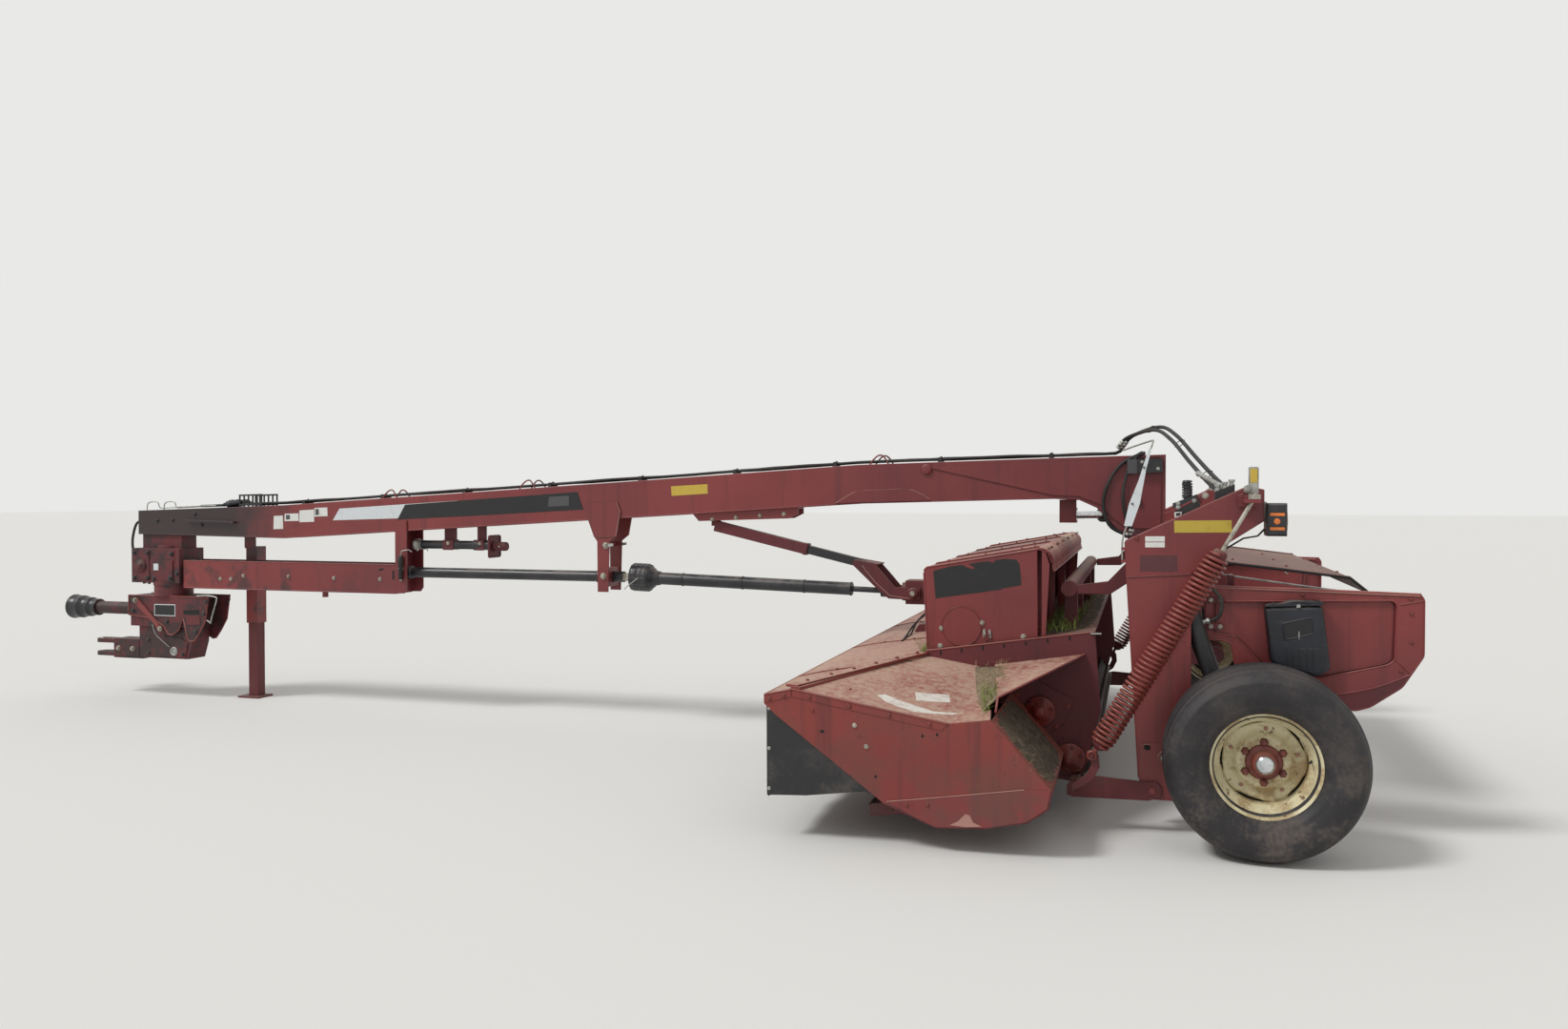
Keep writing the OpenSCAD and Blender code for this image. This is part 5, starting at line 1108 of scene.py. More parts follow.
def makeRollDress():
    shape = Shape("rollCoverTrim", shadeRed)
    for side in (left, right):
        face = side * 1355.4
        out = (0, side, 0)
        # Slots in the conditioner's side, drawn as dark sheets that paint the shade inside them.
        shape.use(holeShade)
        for i in range(7):
            x = -960 + i * 100
            z = 728 + (x + 1030) * 0.15 - 26
            shape.plate([(x, z), (x + 8, z), (x + 8, z + 18), (x, z + 18)], face, side * 1355.9)
        bead(shape, machineRed, [(-1028, side * 1354, 728), (-246, side * 1354, 845)], 4)
        shape.use(galvanised).block((-262, side * 1350, 836), (-214, side * 1372, 842))
        for centre, count in (((-487, 471), 6), ((-353, 261), 6)):
            place = at(centre[0], side * 1384.6, centre[1])
            shape.use(springRed)
            shape.lathe([(70, -1), (70, 5), (66, 8), (58, 8), (56, 12), (40, 14), (38, 22), (27, 24), (26, 34),
                (10, 35)],
                        place, out, 40)
            for k in range(count):
                a = 2 * math.pi * k / count + 0.3
                spot = (centre[0] + 51 * math.cos(a), side * 1392, centre[1] + 51 * math.sin(a))
                boltRow(shape, [spot], out, 13, shadeRed)
        boltRow(shape, [(-600, side * 1368.6, 430), (-598, side * 1368.6, 540), (-360, side * 1368.6, 500),
                        (-415, side * 1368.6, 400), (-420, side * 1368.6, 232), (-310, side * 1368.6, 220)], out, 15,
                        springRed)
        heap(shape, soilDark, [(-690, side * 1362, 480), (-560, side * 1362, 182), (-610, side * 1470, 180),
                               (-700, side * 1440, 470)], 10, (20, 8), 31)
    # Grease lines over the gearbox column, from the photograph's side.
    for k in (0, 1):
        line = curveThrough([at(-1150 + 40 * k, -118, 760), at(-1200, -150, 800 + 14 * k), at(-1290, -160, 742),
                             at(-1330 + 20 * k, -260, 676), at(-1300, -520 - 60 * k, 676)], 8)
        shape.use(hoseRubber).sweep(line, 5, 8)
    shape.finish("frame", "dark_red")


makeHeaderTrim()
makeCurtain()
makeHoodTrim()
makeRollDress()
print("header dressed")


# Legs: stickers, laps, slot and the parts on their tops

legSizes = {"face": 1600, "lap": 2.4, "boltAcross": 20, "knobRings": 7}


def makeLegTrim():
    s = legSizes
    shape = Shape("legTrim", machineRed)
    for side in (left, right):
        out = (0, side, 0)
        y = s["face"]
        skin = y + s["lap"]
        # Upper skin that laps over the leg's lower half, and the foot's lap.
        shape.use(machineRed)
        shape.plate([(-99, 1117), (-106, 1274), (389, 1509), (455, 1494), (455, 1367), (329, 1282), (166, 1141),
            (166, 1135)],
                    side * y, side * skin)
        shape.plate([(-43, 398), (170, 404), (171, 232), (129, 152), (-29, 152), (-44, 240)], side * y, side * (y + 3))
        bead(shape, shadeRed, [(-99, side * skin, 1116), (166, side * skin, 1134)], 1.8, 6)
        bead(shape, machineRed, [(-106, side * (y - 2), 1275), (389, side * (y - 2), 1511),
            (456, side * (y - 2), 1496)], 4)
        bead(shape, machineRed, [(-107, side * (y - 3), 1272), (-99, side * (y - 3), 1116), (-46, side * (y - 3), 242)],
            4)
        decal(shape, olive, [(95, 1366), (327, 1369), (330, 1317), (96, 1314)], skin, side)
        decal(shape, blankWhite, [(-24, 1297), (57, 1298), (57, 1275), (-24, 1274)], skin, side)
        decal(shape, blankWhite, [(-24, 1271), (57, 1272), (57, 1250), (-24, 1249)], skin, side)
        decal(shape, ghostRed, [(-44, 1215), (108, 1216), (110, 1146), (-46, 1144)], skin, side, 0.5)
        # The slot is a dark sheet that paints the shade inside it, with a thin pale strip along its upper edge.
        decal(shape, holeShade, [(-24, 387), (-1, 389), (3, 370), (-8, 364), (-24, 369)], y + 3, side, 0.5)
        decal(shape, worn, [(-26, 390), (1, 392), (1, 389.5), (-26, 387.5)], y + 3, side, 0.7)
        boltRow(shape, [(60, side * (y + 3), 340)], out, 34, boltSteel)
        boltRow(shape, [(-60, side * skin, 1290), (0, side * (y + 3), 200), (120, side * (y + 3), 200)], out, 14,
            springRed)
        # Weld beads where the cross tube meets the leg.
        for z in (1000, 1200):
            path = [(-60 + 10 * k, side * 1458, z + 1.2 * math.sin(k * 2.1)) for k in range(21)]
            bead(shape, springRed, path, 5)
        # Pin at the spring rod's top, with its bracket.
        shape.use(machineRed)
        shape.plate([(372, 1430), (432, 1430), (432, 1484), (372, 1474)], side * 1604, side * 1700)
        shape.plate([(352, 1474), (372, 1484), (372, 1430), (352, 1426)], side * 1602, side * 1640)
        boltRow(shape, [(390, side * 1606, 1502)], out, 22, galvanised)
    # Greasy bolts round the turret.
    shape.use(hitchRed)
    for k in range(8):
        a = 2 * math.pi * (k + 0.5) / 8
        shape.bolt((96 * math.cos(a), 96 * math.sin(a), 1212 - 12), (0, 0, 1), 20)
    shape.finish("frame", "oxide_red")


# Lamps and the reflector plates at the legs' rear ends.
def makeLamps():
    shape = Shape("lampsAndPlates", galvanised)
    for side in (left, right):
        out = (0, side, 0)
        shape.use(galvanised)
        shape.plate([(393, 1459), (434, 1459), (434, 1592), (430, 1596), (397, 1596), (393, 1592)], side * 1600,
            side * 1603)
        shape.plate([(393, 1459), (396, 1459), (396, 1590), (393, 1590)], side * 1600, side * 1606)
        shape.plate([(431, 1459), (434, 1459), (434, 1590), (431, 1590)], side * 1600, side * 1606)
        decal(shape, yellow, [(400, 1529), (429, 1529), (429, 1588), (400, 1588)], 1603, side, 1.2)
        boltRow(shape, [(414, side * 1603, 1478)], out, 12)
        shape.use(galvanised).block((457.4, side * 1560, 1422), (470, side * 1500, 1448))
        boltRow(shape, [(458, side * 1513, 1435), (458, side * 1547, 1435)], (-1, 0, 0), 10)
        # Housing with its rounded corners, then a lens on each of its three faces.
        rings = []
        for share, (x, lean) in enumerate(((466.5, 0), (470, 3), (539, 3), (543, 0))):
            grow = 4 if share in (1, 2) else 0
            rings.append([at(x, side * y, z) for y, z in
                          ((1472 - grow, 1312), (1480, 1303.5), (1628, 1303.5), (1636 + grow, 1312),
                           (1636 + grow, 1434), (1628, 1442.5), (1480, 1442.5), (1472 - grow, 1434))][::side])
        shape.use(guardPlastic).skin(rings, True, False)
        for z in (1334, 1394):
            shape.use(amber)
            shape.plate([(476, z - 5), (533, z - 5), (533, z + 8), (476, z + 8)], side * 1638.5, side * 1641.5)
            shape.block((542, side * 1490, z - 5), (546, side * 1620, z + 9))
            shape.use(guardPlastic)
            shape.plate([(472, z + 9), (537, z + 9), (537, z + 12), (472, z + 12)], side * 1638.5, side * 1643)
        shape.use(amber).lathe([(13, -1), (13, 3), (9, 6), (1, 7)], at(503, side * 1638.5, 1366), out, 24)
        shape.use(amber).lathe([(46, -1), (46, 4), (34, 9), (2, 11)], at(542, side * 1555, 1366), (1, 0, 0), 32)
        shape.use(guardPlastic).lathe([(52, -1), (52, 5), (46, 6)], at(542, side * 1555, 1366), (1, 0, 0), 32)
        bead(shape, hoseRubber, [(468, side * 1490, 1330), (440, side * 1500, 1300), (380, side * 1530, 1290),
            (300, side * 1555, 1240)],
             4, 8)
    shape.finish("frame", "black_plastic", 1.2, ["light_brackets"])


# The valve on the left leg: coil round its knob, its lever, ports and bulkhead elbows.
def makeValveTrim():
    shape = Shape("valveTrim", greyBlack)
    turns = legSizes["knobRings"]
    path = [at(150 + 19 * math.cos(a), -1530 + 19 * math.sin(a), 1462 + 10.5 * a / (2 * math.pi))
            for a in (2 * math.pi * k / 20 for k in range(20 * turns + 1))]
    shape.use(guardPlastic).sweep(path, 3, 8)
    shape.lathe([(20, 0), (20, 6), (16, 9), (5, 10)], at(150, -1530, 1532), (0, 0, 1), 24)
    shape.use(machineRed)
    shape.plate([(192, 1462), (210, 1482), (226, 1486), (236, 1474), (222, 1462), (206, 1440)], -1540, -1520)
    shape.plate([(52, 1398), (90, 1414), (190, 1466), (188, 1456), (96, 1404), (56, 1388)], -1562, -1560.5)
    boltRow(shape, [(224, -1541, 1474)], (0, -1, 0), 18, boltSteel)
    shape.use(blankWhite).plate([(96, 1402), (127, 1404), (125, 1386), (98, 1378)], -1565, -1563.5)
    shape.use(blankBlack).plate([(103, 1398), (122, 1400), (121, 1389), (104, 1385)], -1566, -1564.8)
    boltRow(shape, [(112, -1561, 1440), (178, -1561, 1452), (112, -1561, 1424)], (0, -1, 0), 12, galvanised)
    for x, z in ((276, 1496), (305, 1507), (333, 1517)):  # elbows on the bulkhead
        shape.use(galvanised)
        shape.lathe([(13, -6), (13, 6), (10, 8), (10, 16), (14, 17), (14, 26), (11, 27)], at(x, -1502, z), (0, 0, 1), 6,
            False)
    # Steel pipe that carries the arching hose down to the bulkhead.
    bead(shape, galvanised, [(211, -1130, 1578), (288, -1440, 1519), (300, -1478, 1508), (304, -1500, 1492)], 11.5, 14)
    shape.use(galvanised).lathe([(14, -10), (14, 12), (11, 14)], at(214, -1142, 1576), (0.23, -0.95, -0.18), 6, False)
    shape.finish("frame", "black_metal")


makeLegTrim()
makeLamps()
makeValveTrim()
print("legs and lamps made")


# Windrow shields, the document box and the swath board

shieldSizes = {"face": 1496, "edge": 7}
shieldOutline = [(228, 1078), (1078, 1060), (1090, 1040), (1090, 804), (1010, 671), (888, 581), (830, 562), (640, 590),
                 (430, 645), (366, 690), (352, 720), (333, 829), (307, 843), (228, 846)]
shieldRecess = [(262, 1012), (971, 1034), (986, 1018), (979, 782), (954, 762), (694, 694), (480, 722), (420, 790),
                (350, 862), (262, 872)]


def roundedCorners(outline, radius, steps=4):  # an outline with its corners cut to arcs
    result = []
    n = len(outline)
    for i, corner in enumerate(outline):
        here = Vector(corner)
        before = Vector(outline[i - 1])
        after = Vector(outline[(i + 1) % n])
        cut = min(radius, 0.4 * (before - here).length, 0.4 * (after - here).length)
        a = here + (before - here).normalized() * cut
        b = here + (after - here).normalized() * cut
        result += [tuple(a.lerp(here, t).lerp(here.lerp(b, t), t)) for t in (k / steps for k in range(steps + 1))]
    return result


def inset(outline, amount):  # an outline drawn towards its own middle
    middle = sum((Vector(p) for p in outline), Vector((0, 0))) / len(outline)
    return [tuple(Vector(p) + (middle - Vector(p)).normalized() * amount) for p in outline]


def makeShieldTrim(side, word):
    s = shieldSizes
    y = side * s["face"]
    out = (0, side, 0)
    shape = Shape(f"shieldTrim{word}", machineRed)
    # Rolled rim round the whole shield, and the soft shoulder of its pressed recess.
    rim = roundedCorners(inset(shieldOutline, 3), 14)
    shape.sweep([at(x, y - side, z) for x, z in rim + rim[:1]], s["edge"] * 0.6, 8)
    shoulder = roundedCorners(shieldRecess, 16)
    shape.sweep([at(x, y - side * 2, z) for x, z in shoulder + shoulder[:1]], 4, 8)
    # A line of the shaded paint round the recess's floor paints the shade along its inner wall.
    floor = roundedCorners(inset(shieldRecess, 9), 14)
    shape.use(shadeRed).sweep([at(x, y - side * 22.5, z) for x, z in floor + floor[:1]], 5, 6)
    # Creases of the border: its upper rear corner, and the lower lip that turns in.
    lip = [at(x, y + side * d, z) for x, z, d in ((1084, 1036, 2), (993, 1017, 1), (983, 784, 1), (1040, 727, 2))]
    for a, b in ((0, 1), (2, 3)):
        shape.use(machineRed).sweep([lip[a], lip[b]], 3, 6)
    lower = curveThrough([at(x, y + side * 1.5, z) for x, z in ((440, 668), (640, 622), (739, 627), (900, 664),
        (1040, 727))], 5)
    shape.sweep(lower, 3.4, 8)
    # The turned-in lip below the crease is a sheet of the shaded paint: painted shade under the lip.
    skirt = [at(x, y + side * 0.6, z) for x, z in ((640, 594), (830, 566), (888, 585), (1008, 674), (1036, 722),
        (900, 660), (739, 623),
                                                  (650, 616))]
    shape.use(shadeRed).prism(skirt, Vector((0, side * 0.0018, 0)))
    # Flat rail along the top, with its rivets, and the hinge straps at the front.
    bead(shape, machineRed, [(228, side * 1492, 1076), (640, side * 1494, 1071), (1076, side * 1494, 1060)], 7)
    bead(shape, worn, [(232, side * 1500, 1073), (640, side * 1501.5, 1066), (1070, side * 1501.5, 1056)], 2.2, 6)
    boltRow(shape, [(250, side * 1496, 1046), (620, side * 1496, 1050), (1036, side * 1496, 1044)], out, 12, springRed)
    boltRow(shape, [(1040, side * 1496, 980), (1040, side * 1496, 860), (1002, side * 1496, 738),
        (560, side * 1496, 632)], out, 11,
            springRed)
    for z in (903, 1019):
        shape.use(shadeRed).plate([(212, z - 16), (300, z - 12), (312, z), (300, z + 12), (212, z + 16)], side * 1499,
            side * 1503)
        boltRow(shape, [(252, side * 1503, z), (290, side * 1503, z)], out, 13)
    # Bent latch rod behind the shield's upper edge.
    rod = curveThrough([at(x, side * 1300, z) for x, z in ((313, 1117), (580, 1082), (840, 1050), (846, 1042),
        (846, 985), (850, 974),
                                                         (865, 965))], 5)
    shape.use(galvanised).sweep(rod, 4.2, 8)
    shape.use(shadeRed).plate([(330, 1058), (352, 1058), (352, 1122), (330, 1122)], side * 1290, side * 1424)
    shape.finish(f"windrow_{word.lower()}", "oxide_red")


# Moulded box for papers, with its crowned face, framed blank panel, ribs and hinged lid.
def makeDocumentBox():
    s = shieldSizes
    outline = roundedCorners([(465, 996), (692, 1009), (725, 740), (667, 707), (492, 756)], 22)
    shape = Shape("documentBoxBody", boxPlastic)
    layers = [(1478, 0), (1484, 0), (1500, 0), (1502, 3), (1506, 3), (1508, 0), (1553, 0), (1559, 2.5), (1563, 8),
        (1564.4, 16)]
    shape.skin([[at(x, -y, z) for x, z in inset(outline, d)] for y, d in layers][::-1], True, True)
    panel = [(534, 931), (650, 960), (657, 892), (543, 861)]
    frame = curveThrough([at(x, -1564.6, z) for x, z in roundedCorners(panel, 8, 2) + [roundedCorners(panel, 8, 2)[0]]],
        1)
    shape.sweep(frame, 2.6, 8)
    shape.use(blankBlack).plate(inset(panel, 5), -1564, -1565.2)
    shape.use(galvanised).plate([(597, 899), (601, 900), (602, 868), (598, 867)], -1565, -1566.4)
    shape.use(boxPlastic)
    for k in range(5):
        x = 548 + 26 * k
        shape.plate([(x, 838 - 2 * k), (x + 7, 838 - 2 * k), (x + 13, 762 - 6 * k), (x + 6, 762 - 6 * k)], -1563,
            -1565.6)
    boltRow(shape, [(500, -1502, 870), (478, -1500, 930)], (-1, 0, 0), 9)
    shape.finish("windrow_left", "black_plastic", 0, ["document_box"])
    lid = Shape("documentBoxLid", boxPlastic)
    cap = roundedCorners([(461, 999.4), (697, 1012), (691, 1028.5), (655, 1029), (622, 1030.4), (566, 1029),
        (534, 1016), (520, 1013),
                          (478, 1012)], 9, 3)
    layers = [(1497, 3), (1500, 0), (1560, 0), (1565, 1.5), (1568, 5)]
    lid.skin([[at(x, -y, z) for x, z in inset(cap, d)] for y, d in layers][::-1], True, True)
    for x, z in ((500, 1014), (675, 1028)):
        lid.lathe([(6, -30), (6, 30)], at(x, -1532, z - 2), (0, 1, 0), 12)
    handle = curveThrough([at(x, -1569, z) for x, z in ((560, 1016), (572, 1024), (610, 1026), (640, 1020))], 4)
    lid.sweep(handle, 3.2, 8)
    lid.use(galvanised).plate([(588, 1000), (604, 1001), (603, 1014), (590, 1014)], -1567.5, -1569.5)
    lid.finish("box_lid", "black_plastic", 0, ["document_lid"])


# Rolled edges and screws of the swath board.
def makeSwathTrim():
    shape = Shape("swathTrim", shadeRed)
    wide = 1090
    shape.use(greyBlack)
    bead(shape, greyBlack, [(334, -wide, 1164), (334, wide, 1164)], 6)
    bead(shape, blankBlack, [(938, -wide, 1038), (938, wide, 1038)], 6)
    for side in (left, right):
        y = side * (wide - 1)
        bead(shape, blankBlack, [(336, y, 1160), (600, y, 1131), (868, y, 1100), (938, y, 1040)], 6.5)
        # Thin pale bead along the board's edge: a painted highlight.
        bead(shape, worn, [(340, y, 1167), (600, y, 1138), (866, y, 1107)], 1.8, 6)
    for y in (-900, -300, 300, 900):
        boltRow(shape, [(380, y, 1164), (620, y, 1136), (840, y, 1112)], (0, 0, 1), 12, springRed, False)
    shape.finish("swath", "dark_red")


for side, word in ((left, "Left"), (right, "Right")):
    makeShieldTrim(side, word)
makeDocumentBox()
makeSwathTrim()
print("shields, box and swath board made")


# Tongue: blank bar and panel, labels, reflector, laps, guides and clips

tongueSizes = {"face": 89, "guideFace": 62, "troughFace": 95, "boltAcross": 18, "rodGuides": (-4932, -3885, -1536)}


def makeTongueTrim():
    s = tongueSizes
    shape = Shape("tongueTrim", tongueRed)
    for side in (left, right):
        out = (0, side, 0)
        y = s["face"]
        # Straight pale bar, then a blank dark panel with a slanted end and a grey field.
        decal(shape, blankPale, [(-5385, 1303), (-5330, 1384), (-4400, 1440), (-4400, 1334)], y, side)
        decal(shape, blankBlack, [(-4866, 1312), (-4806, 1412), (-3517, 1497), (-3478, 1384), (-4400, 1334)], y + 0.9,
            side)
        decal(shape, blankGrey, [(-3730, 1402), (-3722, 1466), (-3578, 1473), (-3578, 1408)], y + 1.8, side)
        decal(shape, yellow, [(-2869, 1532), (-2625, 1545), (-2623, 1486), (-2865, 1472)], y, side)
        for outline in ([(-5786, 1295), (-5784, 1346), (-5668, 1350), (-5667, 1297)],
                [(-5661, 1288), (-5660, 1370), (-5540, 1377), (-5539, 1292)],
                        [(-5536, 1328), (-5535, 1388), (-5430, 1392), (-5428, 1332)],
                        [(-5880, 1238), (-5876, 1330), (-5800, 1334), (-5798, 1240)]):
            decal(shape, blankWhite, outline, y, side)
        for outline in ([(-5774, 1306), (-5773, 1338), (-5740, 1339), (-5739, 1307)],
                [(-5528, 1338), (-5527, 1380), (-5500, 1381), (-5499, 1340)]):
            decal(shape, blankGrey, outline, y + 0.9, side, 0.4)
        # Folded upper and lower corners of the beam.
        bead(shape, tongueRed, [(x, side * (y - 4), z - 3) for x, z in beamTop], 5)
        bead(shape, tongueRed, [(x, side * (y - 4), z + 3) for x, z in beamLow], 5)
        # Lap of the rear section, its boss, and the raised stiffener along the bend.
        bead(shape, shadeRed, [(-1251, side * (y + 0.5), 1640), (-527, side * (y + 0.5), 1476)], 2.5, 6)
        shape.use(tongueRed).lathe([(31, 0), (31, 8), (26, 11), (8, 12)], at(-1251, side * 95, 1628), out, 28)
        bend = curveThrough([at(x, side * y, z) for x, z in ((-1803, 1428), (-1740, 1466), (-1666, 1500), (-1520, 1508),
            (-1368, 1511),
                                                            (-1290, 1486), (-1231, 1452))], 4)
        shape.use(worn).sweep(bend, 2.2, 6)
        # Bosses and bolts of the carrier, its worn bearing and hanger.
        for x, z in ((-3427, 1376), (-3252, 1391)):
            shape.use(tongueRed).lathe([(30, 0), (30, 6), (26, 9), (6, 9.5)], at(x, side * y, z), out, 28)
        boltRow(shape, [(-3316, side * 99, 1155), (-3333, side * 99, 959)], out, 26)
        shape.use(galvanised).plate([(-3300, 1146), (-3262, 1152), (-3262, 1168), (-3300, 1166)], side * 99, side * 103)
        bead(shape, worn, [(-3240, side * 99, 1432), (-3215, side * 99, 1375), (-3245, side * 99, 1215)], 2.4, 6)
        bead(shape, shadeRed, [(-3400, side * 99, 1213), (-3375, side * 99, 1205), (-3300, side * 99, 1208),
            (-3248, side * 99, 1214)], 3, 6)
        boltRow(shape, [(x, side * s["guideFace"], z) for x, z in ((-2605, 1326), (-2447, 1338), (-2290, 1351),
            (-2137, 1361))], out, 17)
        boltRow(shape, [(x, side * s["troughFace"], z) for x, z in ((-6334, 879), (-6243, 881), (-6134, 905),
            (-5751, 908), (-5374, 904),
                                                                   (-5002, 904), (-4833, 904))], out, 17)
        boltRow(shape, [(-4835, side * 98.3, 980)], out, 26)
        boltRow(shape, [(-6900, side * y, 1290), (-6760, side * y, 1296), (-6500, side * y, 1262),
            (-6560, side * y, 1340)], out, 18, greyBlack)
        # Clip of moulded rubber and a bent wire on the rear post.
        shape.use(hoseRubber).lathe([(8, 0), (14, 6), (14, 70), (19, 120), (19, 152), (12, 160)],
            at(-4827, side * 114, 906), (0, 0, 1), 18)
        bead(shape, galvanised, [(-4826, side * 116, 1064), (-4815, side * 118, 1100), (-4770, side * 104, 1108),
            (-4752, side * 92, 1094)], 4)
        bead(shape, tongueRed, [(-6640, side * (s["troughFace"] - 1), 1004),
            (-4882, side * (s["troughFace"] - 1), 1004)], 4)
        bead(shape, tongueRed, [(-6640, side * (s["troughFace"] - 2), 809), (-5300, side * (s["troughFace"] - 2), 809)],
            4)
        # Worn slot and a crack of bare steel at the trough's rear end, drawn as dark sheets that paint the shade inside
        # them.
        decal(shape, holeShade, [(-4905, 962), (-4890, 964), (-4890, 905), (-4905, 903)], s["troughFace"], side, 0.5)
        decal(shape, holeShade, [(-5012, 972), (-4975, 980), (-4978, 966), (-5008, 960)], s["troughFace"], side, 0.5)
    # Bent rods that keep the hoses on the beam.
    for x in s["rodGuides"]:
        z = lineAt(beamTop, x)
        for y in (-74, 74):
            guide = curveThrough([at(x - 61, y, z - 4), at(x - 40, y, z + 26), at(x - 12, y * 0.9, z + 52),
                at(x + 14, y * 0.9, z + 53),
                                  at(x + 38, y, z + 28), at(x + 56, y, z - 4)], 5)
            shape.use(springRed).sweep(guide, 5, 8)
    # Moulded box on the beam's rear end, with its pale front part.
    for side in (left, right):
        shape.use(guardPlastic).plate([(-64, 1598), (-64, 1677), (69, 1679), (69, 1602)], side * 97, side * 134)
        shape.use(blankGrey).plate([(-118, 1597), (-120, 1676), (-66, 1676), (-66, 1597)], side * 97, side * 128)
        shape.use(guardPlastic).plate([(-60, 1681), (-60, 1684), (60, 1686), (60, 1683)], side * 97, side * 137)
        boltRow(shape, [(-40, side * 134, 1660), (44, side * 134, 1622)], (0, side, 0), 12, galvanised)
    shape.finish("tongue", "oxide_red")


# White strip on its bent rod at the left leg's front edge, which shows how high the header stands.
def makeHeightStrip():
    shape = Shape("heightStrip", galvanised)
    y = -1592
    rod = curveThrough([at(x, y, z) for x, z in ((-119, 1179), (-119, 1277), (-101, 1342), (-76, 1438), (-34, 1583),
        (2, 1690))], 4)
    shape.sweep(rod, 4, 8)
    hook = curveThrough([at(2, y, 1690), at(8, -1560, 1712), at(0, -1500, 1716), at(-60, -1430, 1700),
        at(-120, -1380, 1680)], 5)
    shape.sweep(hook, 4, 8)
    shape.use(blankPale)
    strip = [(-11, 1678), (2, 1678), (-20, 1595), (-47, 1438), (-80, 1340), (-113, 1342), (-92, 1438), (-52, 1543)]
    shape.plate(strip, y - 5, y - 7)
    boltRow(shape, [(-30, y - 7, 1596), (-78, y - 7, 1438)], (0, -1, 0), 9, blankGrey, False)
    shape.use(machineRed)
    for z in (1182, 1236):
        shape.block((-124, y - 6, z), (-98, y + 6, z + 12))
    shape.finish("frame", "steel")


# Jack that is stowed under the tongue: drawn tube, collar, clip, square foot and hangers.
def makeJack():
    z = 1141
    shape = Shape("stowedJackBody", guardPlastic)
    place = at(-4770, 0, z)
    shape.lathe([(29, 0), (29, 250), (31, 254), (31, 300), (29, 304), (29, 592)], place, (1, 0, 0), 28)
    shape.lathe([(34, 440), (36, 444), (36, 500), (34, 504)], place, (1, 0, 0), 28)
    shape.use(galvanised).lathe([(32, -18), (40, -16), (40, 2), (33, 4), (33, 40)], place, (1, 0, 0), 28)
    shape.use(shadeRed)
    for x0, x1, half in ((-4550, -4470, 14), (-4300, -4240, 10)):
        top = lineAt(beamLow, x0)
        shape.plate([(x0, z + 6), (x0, top), (x1, top + 0.06 * (x1 - x0)), (x1, z + 6)], -half, half)
        shape.plate([(x0, z - 34), (x0, z + 34), (x1, z + 34), (x1, z - 34)], -half - 22, -half - 18)
        shape.plate([(x0, z - 34), (x0, z + 34), (x1, z + 34), (x1, z - 34)], half + 18, half + 22)
        boltRow(shape, [((x0 + x1) / 2, -half - 22, z + 12)], (0, -1, 0), 16)
        shape.use(shadeRed)
    # Pressed square foot with its turned rim, and the stub that holds it.
    outer = roundedCorners([(-76, -76), (76, -76), (76, 76), (-76, 76)], 20, 4)
    layers = [(-4182, 0), (-4176, 0), (-4170, 3), (-4170, 9), (-4176, 9), (-4176, 60)]
    shape.skin([[at(x, a, z - 6 + b) for a, b in inset(outer, d)] for x, d in layers], True, False)
    shape.lathe([(34, 0), (34, 8), (30, 10), (30, 82), (27, 90)], at(-4172, 0, z - 6), (1, 0, 0), 24)
    shape.use(galvanised)
    bead(shape, galvanised, [(-4752, 0, z + 38), (-4744, -46, z + 20), (-4742, -50, z - 20), (-4750, -30, z - 44)], 4)
    bead(shape, galvanised, [(-4120, -40, z - 6), (-4120, 40, z - 6)], 6)
    shape.finish("tongue", "black_metal", 0, ["stowed_jack"])


makeTongueTrim()
makeHeightStrip()
makeJack()
print("tongue dressed")


# Hitch: the two gearboxes, the shaft's guards and the stand

hitchSizes = {"x": 6950, "upperFace": 115, "lowerFace": 105, "footFace": 80, "boltAcross": 22}
hitchPlate = [(-7150, 744), (-6432, 744), (-6462, 571), (-6515, 485), (-6560, 427), (-6590, 422), (-6620, 440),
    (-6655, 580),
              (-6698, 500), (-6755, 464), (-6790, 466), (-6829, 517), (-6917, 578), (-7150, 600)]


